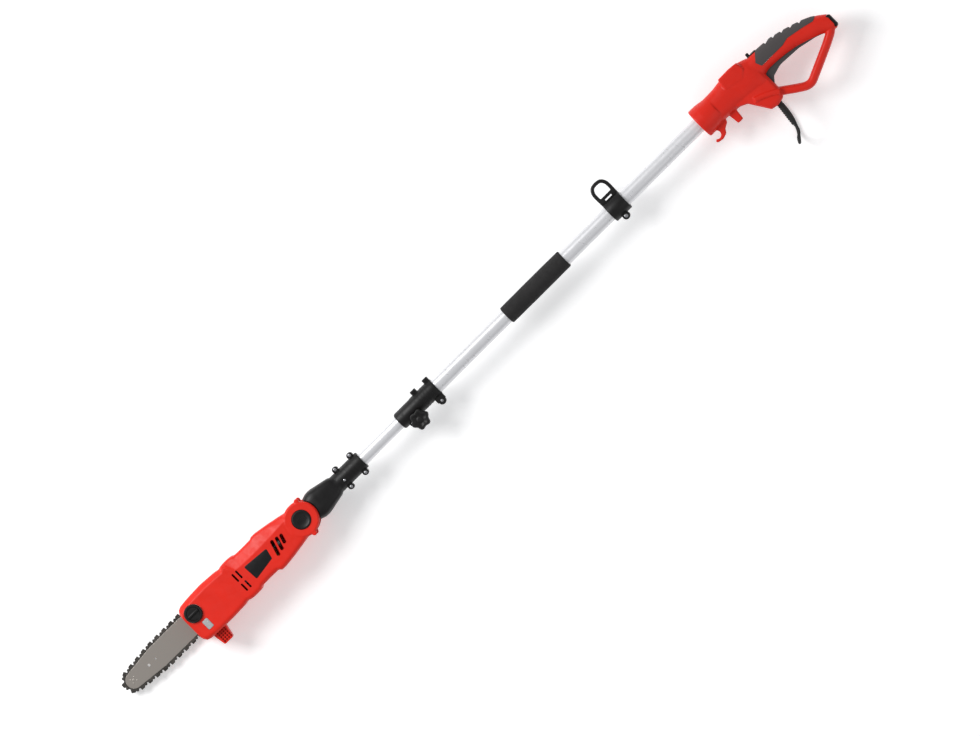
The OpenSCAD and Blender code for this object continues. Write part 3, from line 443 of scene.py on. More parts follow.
def rounded(corners: list[Corner], step: float = 15.0, fixed: int = 0) -> list[Spot]:
    """Points of a counter-clockwise outline whose corners are (x, y, radius).

    Args:
        corners: the corners and their radii.
        step: degrees in each step of an arc.
        fixed: steps in every arc, or 0 to follow `step`.

    Returns:
        The outline's points.
    """
    points: list[Spot] = []
    count = len(corners)
    for i, (x, y, radius) in enumerate(corners):
        here = Vector((x, y))
        before = (Vector(corners[i - 1][:2]) - here).normalized()
        after = (Vector(corners[(i + 1) % count][:2]) - here).normalized()
        if not fixed and (radius < 0.05 or before.dot(after) < -0.999):
            points.append((x, y))
            continue
        half = math.acos(max(-1, min(1, before.dot(after)))) / 2
        centre = here + (before + after).normalized() * radius / math.sin(half)
        start = here + before * radius / math.tan(half) - centre
        end = here + after * radius / math.tan(half) - centre
        first = math.atan2(start.y, start.x)
        sweep = (math.atan2(end.y, end.x) - first + math.pi) % TURN - math.pi
        steps = fixed or max(2, math.ceil(abs(math.degrees(sweep)) / step))
        for k in range(steps + 1):
            a = first + sweep * k / steps
            points.append((centre.x + radius * math.cos(a), centre.y + radius * math.sin(a)))
    return points


def shrunk(points: list[Spot], distance: float) -> list[Spot]:
    """The outline moved inwards.

    Args:
        points: a counter-clockwise outline.
        distance: how far each side moves in.

    Returns:
        The moved outline, with as many points.
    """
    result = []
    count = len(points)
    for i in range(count):
        here = Vector(points[i])
        into = (here - Vector(points[i - 1])).normalized()
        out = (Vector(points[(i + 1) % count]) - here).normalized()
        a, b = Vector((-into.y, into.x)), Vector((-out.y, out.x))
        moved = here + (a + b) * distance / max(0.3, 1 + a.dot(b))
        result.append((moved.x, moved.y))
    return result


def plate(
    name: str, corners: list[Corner], z0: float, z1: float, low: float = 0.6, high: float = 0.6, steps: int = 3
) -> bpy.types.Object:
    """A flat piece with rounded edges.

    Args:
        name: the piece's name.
        corners: its outline as (x, y, radius), counter-clockwise.
        z0, z1: its underside and its top.
        low, high: radius of the lower and upper edge.
        steps: facets in each rounded edge.

    Returns:
        The closed piece.
    """
    outline = rounded(corners)
    rings: list[tuple[float, float]] = []
    for k in range(steps + 1):
        a = math.pi / 2 * k / steps
        rings.append((low * (1 - math.sin(a)), z0 + low * (1 - math.cos(a))))
    for k in range(steps + 1):
        a = math.pi / 2 * k / steps
        rings.append((high * (1 - math.cos(a)), z1 - high * (1 - math.sin(a))))
    return loft(name, [[at(x, y, z) for x, y in shrunk(outline, inset)] for inset, z in rings])


def box(
    name: str, low: tuple[float, float, float], high: tuple[float, float, float], edge: float = 0.0
) -> bpy.types.Object:
    """A block between two corners, with its edges bevelled.

    Args:
        name: the piece's name.
        low: its lowest corner.
        high: its highest corner.
        edge: the bevel's width, or 0 for none.

    Returns:
        The closed block.
    """
    deselect()
    centre = at(*((a + b) / 2 for a, b in zip(low, high)))
    bpy.ops.mesh.primitive_cube_add(size=1, location=centre)
    piece = bpy.context.object
    piece.name = name
    piece.scale = [(b - a) * MM for a, b in zip(low, high)]
    settle(piece)
    if edge:
        modify(piece, "BEVEL", width=edge * MM, segments=2, limit_method="ANGLE")
    return tidy(piece)


def sweep(
    name: str, path: list[Vector], half_a: float, half_b: float, power: float = 2.0, count: int = 20,
    closed: bool = False, up: Vector = Vector((0, 0, 1))
) -> bpy.types.Object:
    """A bar that follows a path, half_a wide across it and half_b thick along `up`.

    Args:
        name: the piece's name.
        path: the line that it follows.
        half_a: half its width across the line.
        half_b: half its thickness along `up`.
        power: 2 is an ellipse, and more is squarer.
        count: points in each loop.
        closed: True for a ring.
        up: the direction of its thickness.

    Returns:
        The closed bar.
    """
    sections = []
    total = len(path)
    for i, place in enumerate(path):
        if closed:
            ahead = path[(i + 1) % total] - path[i - 1]
        else:
            ahead = path[min(total - 1, i + 1)] - path[max(0, i - 1)]
        side = ahead.cross(up).normalized()
        rise = side.cross(ahead).normalized()
        loop = []
        for k in range(count):
            a = TURN * (k + 0.5) / count
            c, s = math.cos(a), math.sin(a)
            loop.append(
                place
                + side * half_a * MM * math.copysign(abs(c) ** (2 / power), c)
                + rise * half_b * MM * math.copysign(abs(s) ** (2 / power), s)
            )
        sections.append(loop)
    if closed:
        sections.append([point.copy() for point in sections[0]])
    return loft(name, sections, closed=closed)


def curve_through(points: list[Vector], steps: int = 6) -> list[Vector]:
    """A smooth line through the points.

    Args:
        points: the points that it passes.
        steps: steps between two points.

    Returns:
        The line's points.
    """
    line = []
    count = len(points)
    for i in range(count - 1):
        a, b, c, d = points[max(0, i - 1)], points[i], points[i + 1], points[min(count - 1, i + 2)]
        for k in range(steps):
            t = k / steps
            line.append(
                0.5
                * (2 * b + (c - a) * t + (2 * a - 5 * b + 4 * c - d) * t * t + (3 * b - a - 3 * c + d) * t ** 3)
            )
    return line + [points[-1].copy()]


def boolean(
    piece: bpy.types.Object, tools: Iterable[bpy.types.Object], operation: str = "DIFFERENCE"
) -> bpy.types.Object:
    """Cuts, joins or intersects a piece with tools, which are used up."""
    for tool in tools:
        take(piece)
        modifier = piece.modifiers.new("cut", "BOOLEAN")
        modifier.operation = operation
        modifier.solver = "EXACT"
        modifier.object = tool
        bpy.ops.object.modifier_apply(modifier=modifier.name)
        bpy.data.objects.remove(tool)
    return piece


def join(name: str, parts: list[bpy.types.Object]) -> bpy.types.Object:
    """Joins parts into one piece.

    Args:
        name: the joined piece's name.
        parts: the parts, which are used up.

    Returns:
        The joined piece.
    """
    deselect()
    for part in parts:
        part.select_set(True)
    bpy.context.view_layer.objects.active = parts[0]
    bpy.ops.object.join()
    parts[0].name = name
    return parts[0]


def fuse(name: str, parts: list[bpy.types.Object], voxel: float = 1.2, relax: int = 4) -> bpy.types.Object:
    """Melts overlapping parts into one skin with soft inner corners.

    Args:
        name: the fused piece's name.
        parts: the overlapping parts, which are used up.
        voxel: the grid's size.
        relax: rounds of smoothing.

    Returns:
        The closed skin.
    """
    piece = join(name, parts)
    modify(piece, "REMESH", mode="VOXEL", voxel_size=voxel * MM, adaptivity=0.0)
    modify(piece, "SMOOTH", factor=0.5, iterations=relax)
    return tidy(piece, 40)


def copy_of(piece: bpy.types.Object, name: str) -> bpy.types.Object:
    """A copy with its own mesh.

    Args:
        piece: the piece to copy.
        name: the copy's name.

    Returns:
        The copy.
    """
    twin = piece.copy()
    twin.data = piece.data.copy()
    twin.name = name
    bpy.context.scene.collection.objects.link(twin)
    return twin


def inner_form(whole: bpy.types.Object, wall: float, voxel: float = 1.6) -> bpy.types.Object:
    """The room inside a closed body whose walls are `wall` thick.

    Args:
        whole: the closed body, which is kept.
        wall: the wall's thickness.
        voxel: the grid's size.

    Returns:
        The closed room.
    """
    room = copy_of(whole, "inner_form")
    modify(room, "DISPLACE", strength=-wall * MM, mid_level=0.0)
    return modify(room, "REMESH", mode="VOXEL", voxel_size=voxel * MM, adaptivity=0.0)


def shell_half(whole: bpy.types.Object, room: bpy.types.Object, name: str, half: Half) -> bpy.types.Object:
    """One hollow half of a closed body, parted at the pole's axis.

    Args:
        whole: the closed body, which is kept.
        room: the room inside it, which is kept.
        name: the half's name.
        half: the side to keep.

    Returns:
        The shell, with a small gap at the parting plane.
    """
    piece = take(copy_of(whole, name))
    bpy.ops.object.mode_set(mode="EDIT")
    bpy.ops.mesh.select_all(action="SELECT")
    bpy.ops.mesh.bisect(
        plane_co=at(0, 0, AXIS_Z + half.value * 0.15), plane_no=(0, 0, 1), use_fill=True,
        clear_inner=half is Half.NEAR, clear_outer=half is Half.FAR,
    )
    bpy.ops.object.mode_set(mode="OBJECT")
    return boolean(piece, [copy_of(room, "room")])


def dress(piece: bpy.types.Object, finish: Finish, slot: str, body: str, *nodes: str) -> bpy.types.Object:
    """Gives a piece its finish and its body, and hides the CAD nodes that it stands for.

    Args:
        piece: the finished piece.
        finish: its material.
        slot: its material slot; not used.
        body: the body that it rides on.
        nodes: the CAD nodes that it stands for.

    Returns:
        The same piece.
    """
    piece.data.materials.clear()
    piece.data.materials.append(finish.build())
    if nodes:
        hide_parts(*nodes)
    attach(piece, body)
    LOG.info("%s: %d faces on %s", piece.name, len(piece.data.polygons), body)
    return piece


def screw_at(
    name: str, x: float, y: float, z: float, radius: float = 3.6, depth: float = 2.4
) -> bpy.types.Object:
    """A pan head with a cross recess whose top is at z.

    Args:
        name: the screw's name.
        x: its place along the pole.
        y: its place across the pole.
        z: the height of its top.
        radius: the head's radius.
        depth: the head's height.

    Returns:
        The screw.
    """
    head = lathe_z(name, x, y, [
        (z - depth - 8, radius * 0.5), (z - depth, radius * 0.5), (z - depth, radius),
        (z - depth * 0.45, radius), (z - depth * 0.15, radius * 0.86), (z, radius * 0.55),
    ], 24)
    arm, width = radius * 0.58, radius * 0.13
    cuts = [
        box("cross", (x - arm, y - width, z - depth * 0.6), (x + arm, y + width, z + 1)),
        box("cross", (x - width, y - arm, z - depth * 0.6), (x + width, y + arm, z + 1)),
    ]
    return boolean(head, cuts)


def turned_over(piece: bpy.types.Object) -> bpy.types.Object:
    """Mirrors a piece in the floor, for what goes in from the far side."""
    piece.data.transform(Matrix.Diagonal((1, 1, -1, 1)))
    return tidy(piece)


def screws(
    name: str, spots: list[Spot], z: float, body: str, node: str, radius: float = 3.6, finish: Finish = ZINC
) -> None:
    """Copies one modelled screw to every spot and dresses the set as one piece.

    Args:
        name: the set's name.
        spots: the screws' places.
        z: the height of their tops.
        body: the body that they ride on.
        node: the CAD node that they stand for.
        radius: the heads' radius.
        finish: their material.
    """
    first = tidy(screw_at(name, spots[0][0], spots[0][1], z, radius))
    parts = [first]
    for x, y in spots[1:]:
        twin = copy_of(first, name)
        twin.data.transform(Matrix.Translation(at(x, y, z) - at(*spots[0], z)))
        parts.append(twin)
    dress(join(name, parts), finish, "zinc_steel", body, node)


# ---------------------------------------------------------------- cutting head


@dataclass
class CuttingHead:
    """Motor head with its shells, caps, bar and chain."""

    front: float = field(default_factory=lambda: low_x("head_shell_near"))
    top_z: float = 88.0
    bottom_z: float = 22.0
    wall: float = 2.4
    ring_r: float = 36.0
    cap_r: float = 18.3
    cap_y: float = 18.5
    bar_y: float = 8.0
    bar_w: float = 48.0
    nose_r: float = 17.0
    pitch: float = 19.05
    stud_step: float = 20.0
    reach: float = 9.0
    vents: tuple[float, ...] = (-173.7, -163.8)
    vent_w: float = 4.0
    louvres: tuple[tuple[float, float, float], ...] = ((-75.7, -21, 14), (-63.4, -18, 12), (-52, -12, 10))
    louvre_w: float = 8.4
    louvre_lean: float = 17.0
    louvre_sink: float = 2.4
    # station, top, bottom, sink of the faces, crease of the near face, drop beyond it
    stations: tuple[tuple[float, ...], ...] = (
        (-305, 36, -31, 4, 26, 2), (-300, 43, -38, 1.2, 32, 3), (-292, 46.6, -41, 0.3, 35, 4),
        (-270, 48.6, -42.6, 0, 37.5, 5),
        (-235, 50, -43, 0, 38.5, 5), (-200, 47.5, -41.8, 0, 37, 5), (-187, 45, -39.4, 0.4, 36, 5),
        (-181, 47, -42, 0.2, 41, 3),
        (-172, 48, -43, 0, 32, 4), (-163, 48, -43, 0, 21, 4), (-153, 47, -42.6, 0, 19.5, 4),
        (-147, 43.6, -38.8, 0, 19, 3.5),
        (-125, 43, -38.5, 0, 18.5, 3.5), (-102, 43.4, -39, 0, 18.5, 3.5), (-96, 46, -44.2, 0, 18.5, 4),
        (-88, 46, -44.2, 0, 19, 4),
        (-60, 41.4, -41, 0, 20, 3.5), (-36, 36.8, -37.2, 0.6, 22, 3.5), (-12, 31.5, -33.2, 2, 24, 3),
    )

    @property
    def cap_x(self) -> float:
        """Middle of the oil cap."""
        return self.front + 23.5

    @property
    def window(self) -> Spot:
        """Middle of the level window."""
        return self.front + 30, -16.0

    @property
    def stud_x(self) -> float:
        """Place of the front stud, which the rear one follows at `stud_step`."""
        return self.front + 30

    @property
    def sprocket_x(self) -> float:
        """Middle of the drive sprocket."""
        return self.front + 81

    def section(self, x: float, top: float, bottom: float, sink: float, crease: float, drop: float) -> Section:
        """One loop of the head's body."""
        return creased(x, top, bottom, self.bottom_z + sink, self.top_z - sink, crease, drop)

    def body_form(self) -> bpy.types.Object:
        """The closed outer form that both shells are parted from.

        Returns:
            The form.
        """
        shift = self.front + 306
        front = (self.front, 30, -26, 7.5, 18, 1)
        rows = [front] + [(row[0] + shift if row[0] < -150 else row[0], *row[1:]) for row in self.stations]
        parts = [loft("head_form", [self.section(*row) for row in rows])]
        parts.append(lathe_z("ring_form", 0, 0, [
            (self.bottom_z + 0.5, 26), (self.bottom_z + 0.5, 33), (self.bottom_z + 4, self.ring_r),
            (self.top_z - 4, self.ring_r), (self.top_z - 0.4, 33), (self.top_z - 0.4, 26),
        ], 64))
        for angle in (61, -90):
            a = math.radians(angle)
            x, y = (self.ring_r + 1) * math.cos(a), (self.ring_r + 1) * math.sin(a)
            for z in (self.bottom_z + 1, self.top_z - 11):
                parts.append(lathe_z("boss_form", x, y, [(z, 4), (z + 1, 5), (z + 9, 5), (z + 10, 4)], 24))
        ridge = [(-41, 15, 1), (-22, 11, 1), (-19, 14.5, 1), (-39, 20, 1)]
        parts.append(plate("ridge_form", ridge, self.top_z - 8, self.top_z - 0.6, 0.4, 0.8))
        return fuse("head_body", parts, 1.2, 3)

    def slot_cutter(
        self, x: float, y0: float, y1: float, width: float, lean: float = 0.0, depth: float | None = None
    ) -> bpy.types.Object:
        """A rounded slot in the near face, leaning by an angle in degrees.

        Args:
            x: the slot's middle.
            y0: its lower end.
            y1: its upper end.
            width: its width.
            lean: its lean in degrees.
            depth: how far below the top it reaches, or None to go through.

        Returns:
            The cutter.
        """
        half, r = width / 2, width / 2 - 0.05
        slot = plate(
            "slot", oblong(x - half, y0, x + half, y1, r), self.top_z - (depth or self.reach), self.top_z + 4,
            0, 0, 1
        )
        centre = at(x, (y0 + y1) / 2, 0)
        slot.data.transform(
            Matrix.Translation(centre) @ Matrix.Rotation(-math.radians(lean), 4, "Z")
            @ Matrix.Translation(-centre)
        )
        return slot

    def shells(self) -> None:
        """Both shells with vents, louvres, cap seat, window and tongue room."""
        form = self.body_form()
        room = inner_form(form, self.wall)
        mid = AXIS_Z
        for half, name in ((Half.NEAR, "head_shell_near"), (Half.FAR, "head_shell_far")):
            shell = shell_half(form, room, f"{name}_skin", half)
            cuts = [drill(0, 0, mid - 21.9, mid + 21.9, 37.6, 64)]
            if half is Half.NEAR:
                cuts.append(drill(0, 0, mid + 18, self.top_z + 6, 20, 64))
                cuts.append(drill(self.cap_x, self.cap_y, self.top_z - self.reach, self.top_z + 6, 18.9, 48))
                x, y = self.window
                cuts.append(
                    plate(
                        "window_hole", oblong(x - 6.9, y - 10.9, x + 6.9, y + 10.9, 2), self.top_z - self.reach,
                        self.top_z + 4, 0, 0, 1
                    )
                )
                for x in self.vents:
                    cuts.append(self.slot_cutter(x, 0, 20, self.vent_w))
                    cuts.append(self.slot_cutter(x, -25, -6.5, self.vent_w))
                for x, y0, y1 in self.louvres:
                    cuts.append(self.slot_cutter(x, y0, y1, self.louvre_w, self.louvre_lean, self.louvre_sink))
                    cuts.append(
                        self.slot_cutter(x - 0.4, y0 + 1, y1 - 1, self.louvre_w - 1.6, self.louvre_lean)
                    )
            else:
                cuts.append(drill(0, 0, self.bottom_z - 3, self.bottom_z + 4, 8.4, 32))
                cuts.append(drill(self.sprocket_x, 0, self.bottom_z - 3, self.bottom_z + 9, 9, 32))
            boolean(shell, cuts)
            smooth(shell, 38)
            dress(shell, RED, "red_housing", "cutting_head", name)
        bpy.data.objects.remove(form)
        bpy.data.objects.remove(room)

    def limb_stop(self) -> None:
        """Toothed foot in front of the head, with a grid of ribs on both faces."""
        f = self.front
        outline = [(f + 19, -37, 1), (f + 24, -69, 4), (f + 46, -69, 4), (f + 53, -37, 1)]
        foot = plate("stop_core", outline, AXIS_Z - 17, AXIS_Z + 17, 1.6, 1.6)
        pockets = []
        for i in range(4):
            for j in range(5):
                x, y = f + 28.4 + 5.6 * i, -64 + 5.2 * j
                for z0, z1 in ((AXIS_Z - 20, AXIS_Z - 9), (AXIS_Z + 9, AXIS_Z + 20)):
                    pockets.append(box("pocket", (x - 1.9, y - 1.8, z0), (x + 1.9, y + 1.8, z1)))
        boolean(foot, [join("pockets", pockets)])
        smooth(foot, 35)
        dress(foot, RED, "red_housing", "cutting_head")

    def caps_and_label(self) -> None:
        """Oil cap, level window, blank label and the round tilt button."""
        top = self.top_z
        cap = lathe_z("oil_cap_disc", self.cap_x, self.cap_y, [
            (top - 15, 12), (top - 3, 12), (top - 3, self.cap_r - 0.5), (top + 1.5, self.cap_r),
            (top + 4.6, self.cap_r - 0.4),
            (top + 5.8, self.cap_r - 1.8), (top + 5.8, self.cap_r - 4.2), (top + 4.4, self.cap_r - 5.6),
            (top + 4.4, 3),
        ], 72)
        parts = [
            cap,
            box(
                "cap_grip", (self.cap_x - 13, self.cap_y - 2.4, top + 3.6),
                (self.cap_x + 13, self.cap_y + 2.4, top + 8), 1.2
            )
        ]
        for i in range(24):
            a = TURN * i / 24
            x, y = self.cap_x + (self.cap_r - 0.4) * math.cos(a), self.cap_y + (self.cap_r - 0.4) * math.sin(a)
            parts.append(
                lathe_z("knurl", x, y, [(top + 0.6, 0.5), (top + 1.2, 0.9), (top + 4, 0.9), (top + 5, 0.4)], 8)
            )
        dress(join("oil_cap_top", parts), BLACK, "black_plastic", "cap", "oil_cap")
        x, y = self.window
        pane = plate(
            "level_window", oblong(x - 6.6, y - 10.6, x + 6.6, y + 10.6, 2), top - 3, top + 0.2, 0.3, 0.9
        )
        dress(pane, WINDOW, "window", "cutting_head", "oil_window")
        label = plate(
            "label_panel", [(-145, -21.5, 3), (-94.5, -14, 3), (-89, 8.5, 3), (-147, 13.5, 3)], top - 2.6,
            top + 0.1, 0.2, 0.5
        )
        dress(label, LABEL, "label", "cutting_head", "label_plate")
        button = lathe_z("tilt_button_disc", 0, 0, [
            (AXIS_Z + 18, 9.6), (AXIS_Z + 18, 12), (AXIS_Z + 24, 12), (AXIS_Z + 24, 19.1), (top + 0.8, 19.3),
            (top + 2.1, 18.2),
            (top + 2.4, 16.6), (top + 1.6, 15.2), (top + 0.9, 9), (top + 0.7, 3),
        ], 72)
        ridges = [
            box("ridge", (-9 + 3.6 * i - 0.6, -6.5, top + 0.4), (-9 + 3.6 * i + 0.6, 6.5, top + 1.7), 0.5)
            for i in range(6)
        ]
        dress(join("tilt_button_top", [button, *ridges]), BLACK, "black_plastic", "tilt_lock", "tilt_button")

    def cover(self) -> None:
        """Sprocket cover under the head, with ribs on its face and its two nuts."""
        f = self.front
        corners = [
            (self.sprocket_x + 34, 44, 14), (f + 71, 48.5, 20), (f + 10, 45.5, 9), (f + 1, 31.5, 8),
            (f + 1, -33, 6),
            (f + 10, -40, 7), (f + 71, -42, 20), (self.sprocket_x + 34, -37, 14),
        ]
        shell = plate("cover_skin", corners, 0, self.bottom_z - 0.2, 4, 0.3, 4)
        inner = plate(
            "cover_room", [(x - (1 if x > f + 40 else -2.4), y * 0.93, max(3, r - 3)) for x, y, r in corners],
            3, 40, 1.5, 0, 2
        )
        mouth = box("chain_mouth", (f - 8, self.bar_y - 32, 9.5), (f + 9, self.bar_y + 32, 40))
        boolean(shell, [inner, mouth])
        for i in range(2):
            x = self.stud_x + self.stud_step * i
            boolean(shell, [drill(x, self.bar_y, 0.6, 15.4 - 0.2 * i, 11.4, 35 + i)], "UNION")
        for i in range(2):
            x = self.stud_x + self.stud_step * i
            boolean(shell, [
                drill(x, self.bar_y, -2, 6.5, 9, 34 + i),
                drill(x, self.bar_y, -2, 30, 4.3, 24),
            ])
        boolean(shell, [drill(self.stud_x - 14, self.bar_y - 18, -2, 30, 4, 24)])
        for i in range(6):
            x = self.sprocket_x - 8 + 6 * i
            boolean(shell, [box("groove", (x - 1.1, -30, -1), (x + 1.1, 30 - 2 * i, 1.1), 0.3)])
        smooth(shell, 35)
        dress(shell, RED, "red_housing", "cutting_head", "sprocket_cover")
        nuts = []
        for i in range(2):
            x = self.stud_x + self.stud_step * i
            hexagon = [
                (x + 7.2 * math.cos(TURN * k / 6), self.bar_y + 7.2 * math.sin(TURN * k / 6), 1.2)
                for k in range(6)
            ]
            nuts.append(plate("nut", hexagon, 1, 5.6, 0.7, 0.1))
            nuts.append(lathe_z("flange", x, self.bar_y, [(5.3, 8.2), (5.7, 8.5), (6.4, 8.5)], 32))
        nuts = [
            boolean(nut, [drill(self.stud_x + self.stud_step * (i // 2), self.bar_y, 0, 8, 4.02, 24)]) for i,
            nut in enumerate(nuts)
        ]
        dress(join("cover_nut_pair", nuts), ZINC, "zinc_steel", "cutting_head", "cover_nuts")
        spots = [(f + 12, 39), (f + 17, -34), (f + 101, 40), (f + 101, -34), (-98, 37), (-98, -35)]
        heads = [screw_at("far_screw", x, y, -self.bottom_z - 1.2, 3.5) for x, y in spots]
        heads = [turned_over(head) for head in heads]
        dress(join("head_screw_set", heads), ZINC, "zinc_steel", "cutting_head", "head_screws")

    # ---- bar and chain

    def bar_corners(self, grow: float) -> list[Corner]:
        """Outline of the guide bar around its own middle line, moved outwards.

        Args:
            grow: how far the outline moves outwards.

        Returns:
            The corners and their radii.
        """
        half = self.bar_w / 2
        nose = self.nose_x
        tail = self.front + 57
        arc = [
            (
                nose + (self.nose_r + grow) * math.cos(math.radians(a)),
                (self.nose_r + grow) * math.sin(math.radians(a)), 0.0
            )
            for a in range(96, 270, 12)
        ]
        return [
            (tail + grow, 15 + grow, 6), (self.front + 14, half + grow, 30), (nose + 66, half + grow, 60), *arc,
            (nose + 66, -half - grow, 60), (self.front + 14, -half - grow, 30), (tail + grow, -15 - grow, 6),
        ]

    @property
    def nose_x(self) -> float:
        """Middle of the bar's nose."""
        return (middle("nose_sprocket").x - PIVOT.x) / MM

    def guide_bar(self) -> None:
        """Laminated bar: two faces, a narrower core, a riveted nose and light holes."""
        z0, z1 = 15.5, 19.5
        raised = [(x, y + self.bar_y, r) for x, y, r in self.bar_corners(0)]
        core = [(x, y + self.bar_y, r) for x, y, r in self.bar_corners(-5)]
        low = plate("low_rail", raised, z0, z0 + 1.2, 0.25, 0.1, 2)
        high = plate("high_rail", raised, z1 - 1.2, z1, 0.1, 0.25, 2)
        inner = plate("bar_core", core, z0 + 1.1, z1 - 1.1, 0, 0, 1)
        nose = self.nose_x
        holes = [(self.tip + 65.5, 3.0), (self.tip + 84, 1.6)]
        parts = []
        for part in (low, high, inner):
            cuts = [drill(x, self.bar_y, z0 - 2, z1 + 2, r, 24) for x, r in holes]
            slot = oblong(self.stud_x - 4.3, self.bar_y - 4.3, self.stud_x + 24.3, self.bar_y + 4.3, 4.2)
            cuts.append(plate("stud_slot", slot, z0 - 2, z1 + 2, 0, 0, 1))
            if part is inner:
                cuts.append(drill(nose, self.bar_y, z0, z1, 14.8, 48))
            parts.append(boolean(part, cuts))
        for i in range(4):
            a = math.radians(45 + 90 * i)
            x, y = nose + 6.5 * math.cos(a), self.bar_y + 6.5 * math.sin(a)
            parts.append(lathe_z("rivet", x, y, [(z0 - 0.15, 1.2), (z0, 1.7), (z1, 1.7), (z1 + 0.15, 1.2)], 16))
        parts.append(
            lathe_z(
                "nose_rivet", nose, self.bar_y, [(z0 - 0.2, 2.2), (z0, 2.9), (z1, 2.9), (z1 + 0.2, 2.2)], 24
            )
        )
        bar = join("bar_blade", parts)
        smooth(bar, 15)
        dress(bar, BAR_STEEL, "bar_steel", "cutting_head", "guide_bar")

    @property
    def tip(self) -> float:
        """Where the chain's foremost point is."""
        return self.nose_x - self.nose_r - 6.5

    def chain_path(self) -> list[Vector]:
        """The chain's closed line round the bar and the drive sprocket, flat, in millimetres.

        Returns:
            The line's points.
        """
        half = self.bar_w / 2 + 2.2
        nose, back = self.nose_r + 2.2, 18.5
        rear = [
            Vector(
                (
                    self.sprocket_x + back * math.cos(math.radians(a)),
                    back * math.sin(math.radians(a)) - self.bar_y
                )
            )
            for a in range(-80, 81, 16)
        ]
        front = [
            Vector((self.nose_x + nose * math.cos(math.radians(a)), nose * math.sin(math.radians(a))))
            for a in range(96, 270, 12)
        ]
        upper = [Vector((self.front + 16, half)), Vector((self.nose_x + 66, half))]
        lower = [Vector((self.nose_x + 66, -half)), Vector((self.front + 16, -half))]
        return [*rear, *upper, *front, *lower]

    def chain_frames(self) -> list[Matrix]:
        """Places and turns of the chain's links, two for each pitch, as matrices in metres.

        Returns:
            One matrix for each link.
        """
        path = self.chain_path()
        legs = [(path[i], path[(i + 1) % len(path)]) for i in range(len(path))]
        total = sum((b - a).length for a, b in legs)
        pairs = math.floor(total / self.pitch)
        frames = []
        for i in range(2 * pairs):
            s = (i + 0.5) * total / (2 * pairs)
            for a, b in legs:
                length = (b - a).length
                if s <= length:
                    break
                s -= length
            spot = a + (b - a) * (s / length)
            turn = math.atan2(b.y - a.y, b.x - a.x)
            frames.append(
                Matrix.Translation(at(spot.x, spot.y + self.bar_y, 17.5)) @ Matrix.Rotation(turn, 4, "Z")
            )
        return frames

    def chain(self) -> None:
        """Drive links, tie straps, rivets and cutters, each copied along the chain's line."""
        origin = at(0, 0, 0)

        def link(name: str, corners: list[Corner], z0: float, z1: float) -> bpy.types.Object:
            """A flat link drawn round the pivot, moved to the world's origin.

            Args:
                name: the link's name.
                corners: its outline.
                z0: its underside.
                z1: its top.

            Returns:
                The link.
            """
            piece = plate(name, corners, z0, z1, 0.15, 0.15, 1)
            piece.data.transform(Matrix.Translation(-origin))
            return piece

        drive = link(
            "drive",
            [
                (-7, -2.2, 0.8), (-4, -2.2, 0.8), (0, -0.8, 1), (4, -2.2, 0.8), (7, -2.2, 0.8), (7, 2.3, 1),
                (3, 3.4, 1), (-3, 3.4, 1), (-7, 2.3, 1)
            ],
            -0.65, 0.65
        )
        strap_shape = [(-8.2, -3.9, 1.6), (0, -3.1, 2), (8.2, -3.9, 1.6), (8.2, 2.1, 1.6), (-8.2, 2.1, 1.6)]
        straps = {
            s: link("strap", strap_shape, 0.8 if s > 0 else -2.2, 2.2 if s > 0 else -0.8) for s in (1, -1)
        }
        cutter_shape = [
            (-8.2, -3, 1), (-7.4, -6.2, 0.6), (0.4, -5.6, 0.3), (2.8, -2.4, 0.8), (4.4, -4.8, 0.6),
            (6.6, -4.6, 0.8), (8.2, -3, 1), (8.2, 2.1, 1.6), (-8.2, 2.1, 1.6)
        ]
        cutters = {}
        for s in (1, -1):
            side = link("cutter", cutter_shape, 0.8 if s > 0 else -2.2, 2.2 if s > 0 else -0.8)
            lid = link(
                "top_plate", [(-7.3, -6.4, 0.2), (0.5, -5.9, 0.2), (0.5, -4.9, 0.2), (-7.3, -5.2, 0.2)],
                1.6 if s > 0 else -3.1, 3.1 if s > 0 else -1.6
            )
            cutters[s] = join("cutter", [side, lid])
        rivet = lathe_z("rivet", 0, 0, [(-2.45, 0.7), (-2.3, 1.2), (2.3, 1.2), (2.45, 0.7)], 10)
        rivet.data.transform(Matrix.Translation(-origin))
        sets: dict[str, list[bpy.types.Object]] = {"drive": [], "side": []}

        def lay(source: bpy.types.Object, frame_at: Matrix, kind: str) -> None:
            """Copies a link to its place on the chain.

            Args:
                source: the link to copy.
                frame_at: the copy's place and turn.
                kind: the set that it joins.
            """
            twin = copy_of(source, kind)
            twin.data.transform(frame_at)
            sets[kind].append(twin)

        for i, spot in enumerate(self.chain_frames()):
            if i % 2 == 0:
                lay(drive, spot, "drive")
                continue
            pair = i // 2
            for s in (1, -1):
                cutting = pair % 2 == (0 if s > 0 else 1)
                lay(cutters[s] if cutting else straps[s], spot, "side")
            for x in (-4.7, 4.7):
                lay(rivet, spot @ Matrix.Translation((x * MM, 0, 0)), "side")
        for source in (drive, rivet, *straps.values(), *cutters.values()):
            bpy.data.objects.remove(source)
        dress(
            join("drive_link_set", sets["drive"]), CHAIN_STEEL, "chain_steel", "cutting_head",
            "chain_drive_links"
        )
        dress(
            join("cutter_and_strap_set", sets["side"]), CHROME_EDGE, "chain_steel", "cutting_head",
            "chain_side_links"
        )

    def build(self) -> None:
        """Builds the whole head."""
        self.shells()
        self.limb_stop()
        self.caps_and_label()
        self.cover()
        self.guide_bar()
        self.chain()


# ---------------------------------------------------------------- neck, pole and clamp


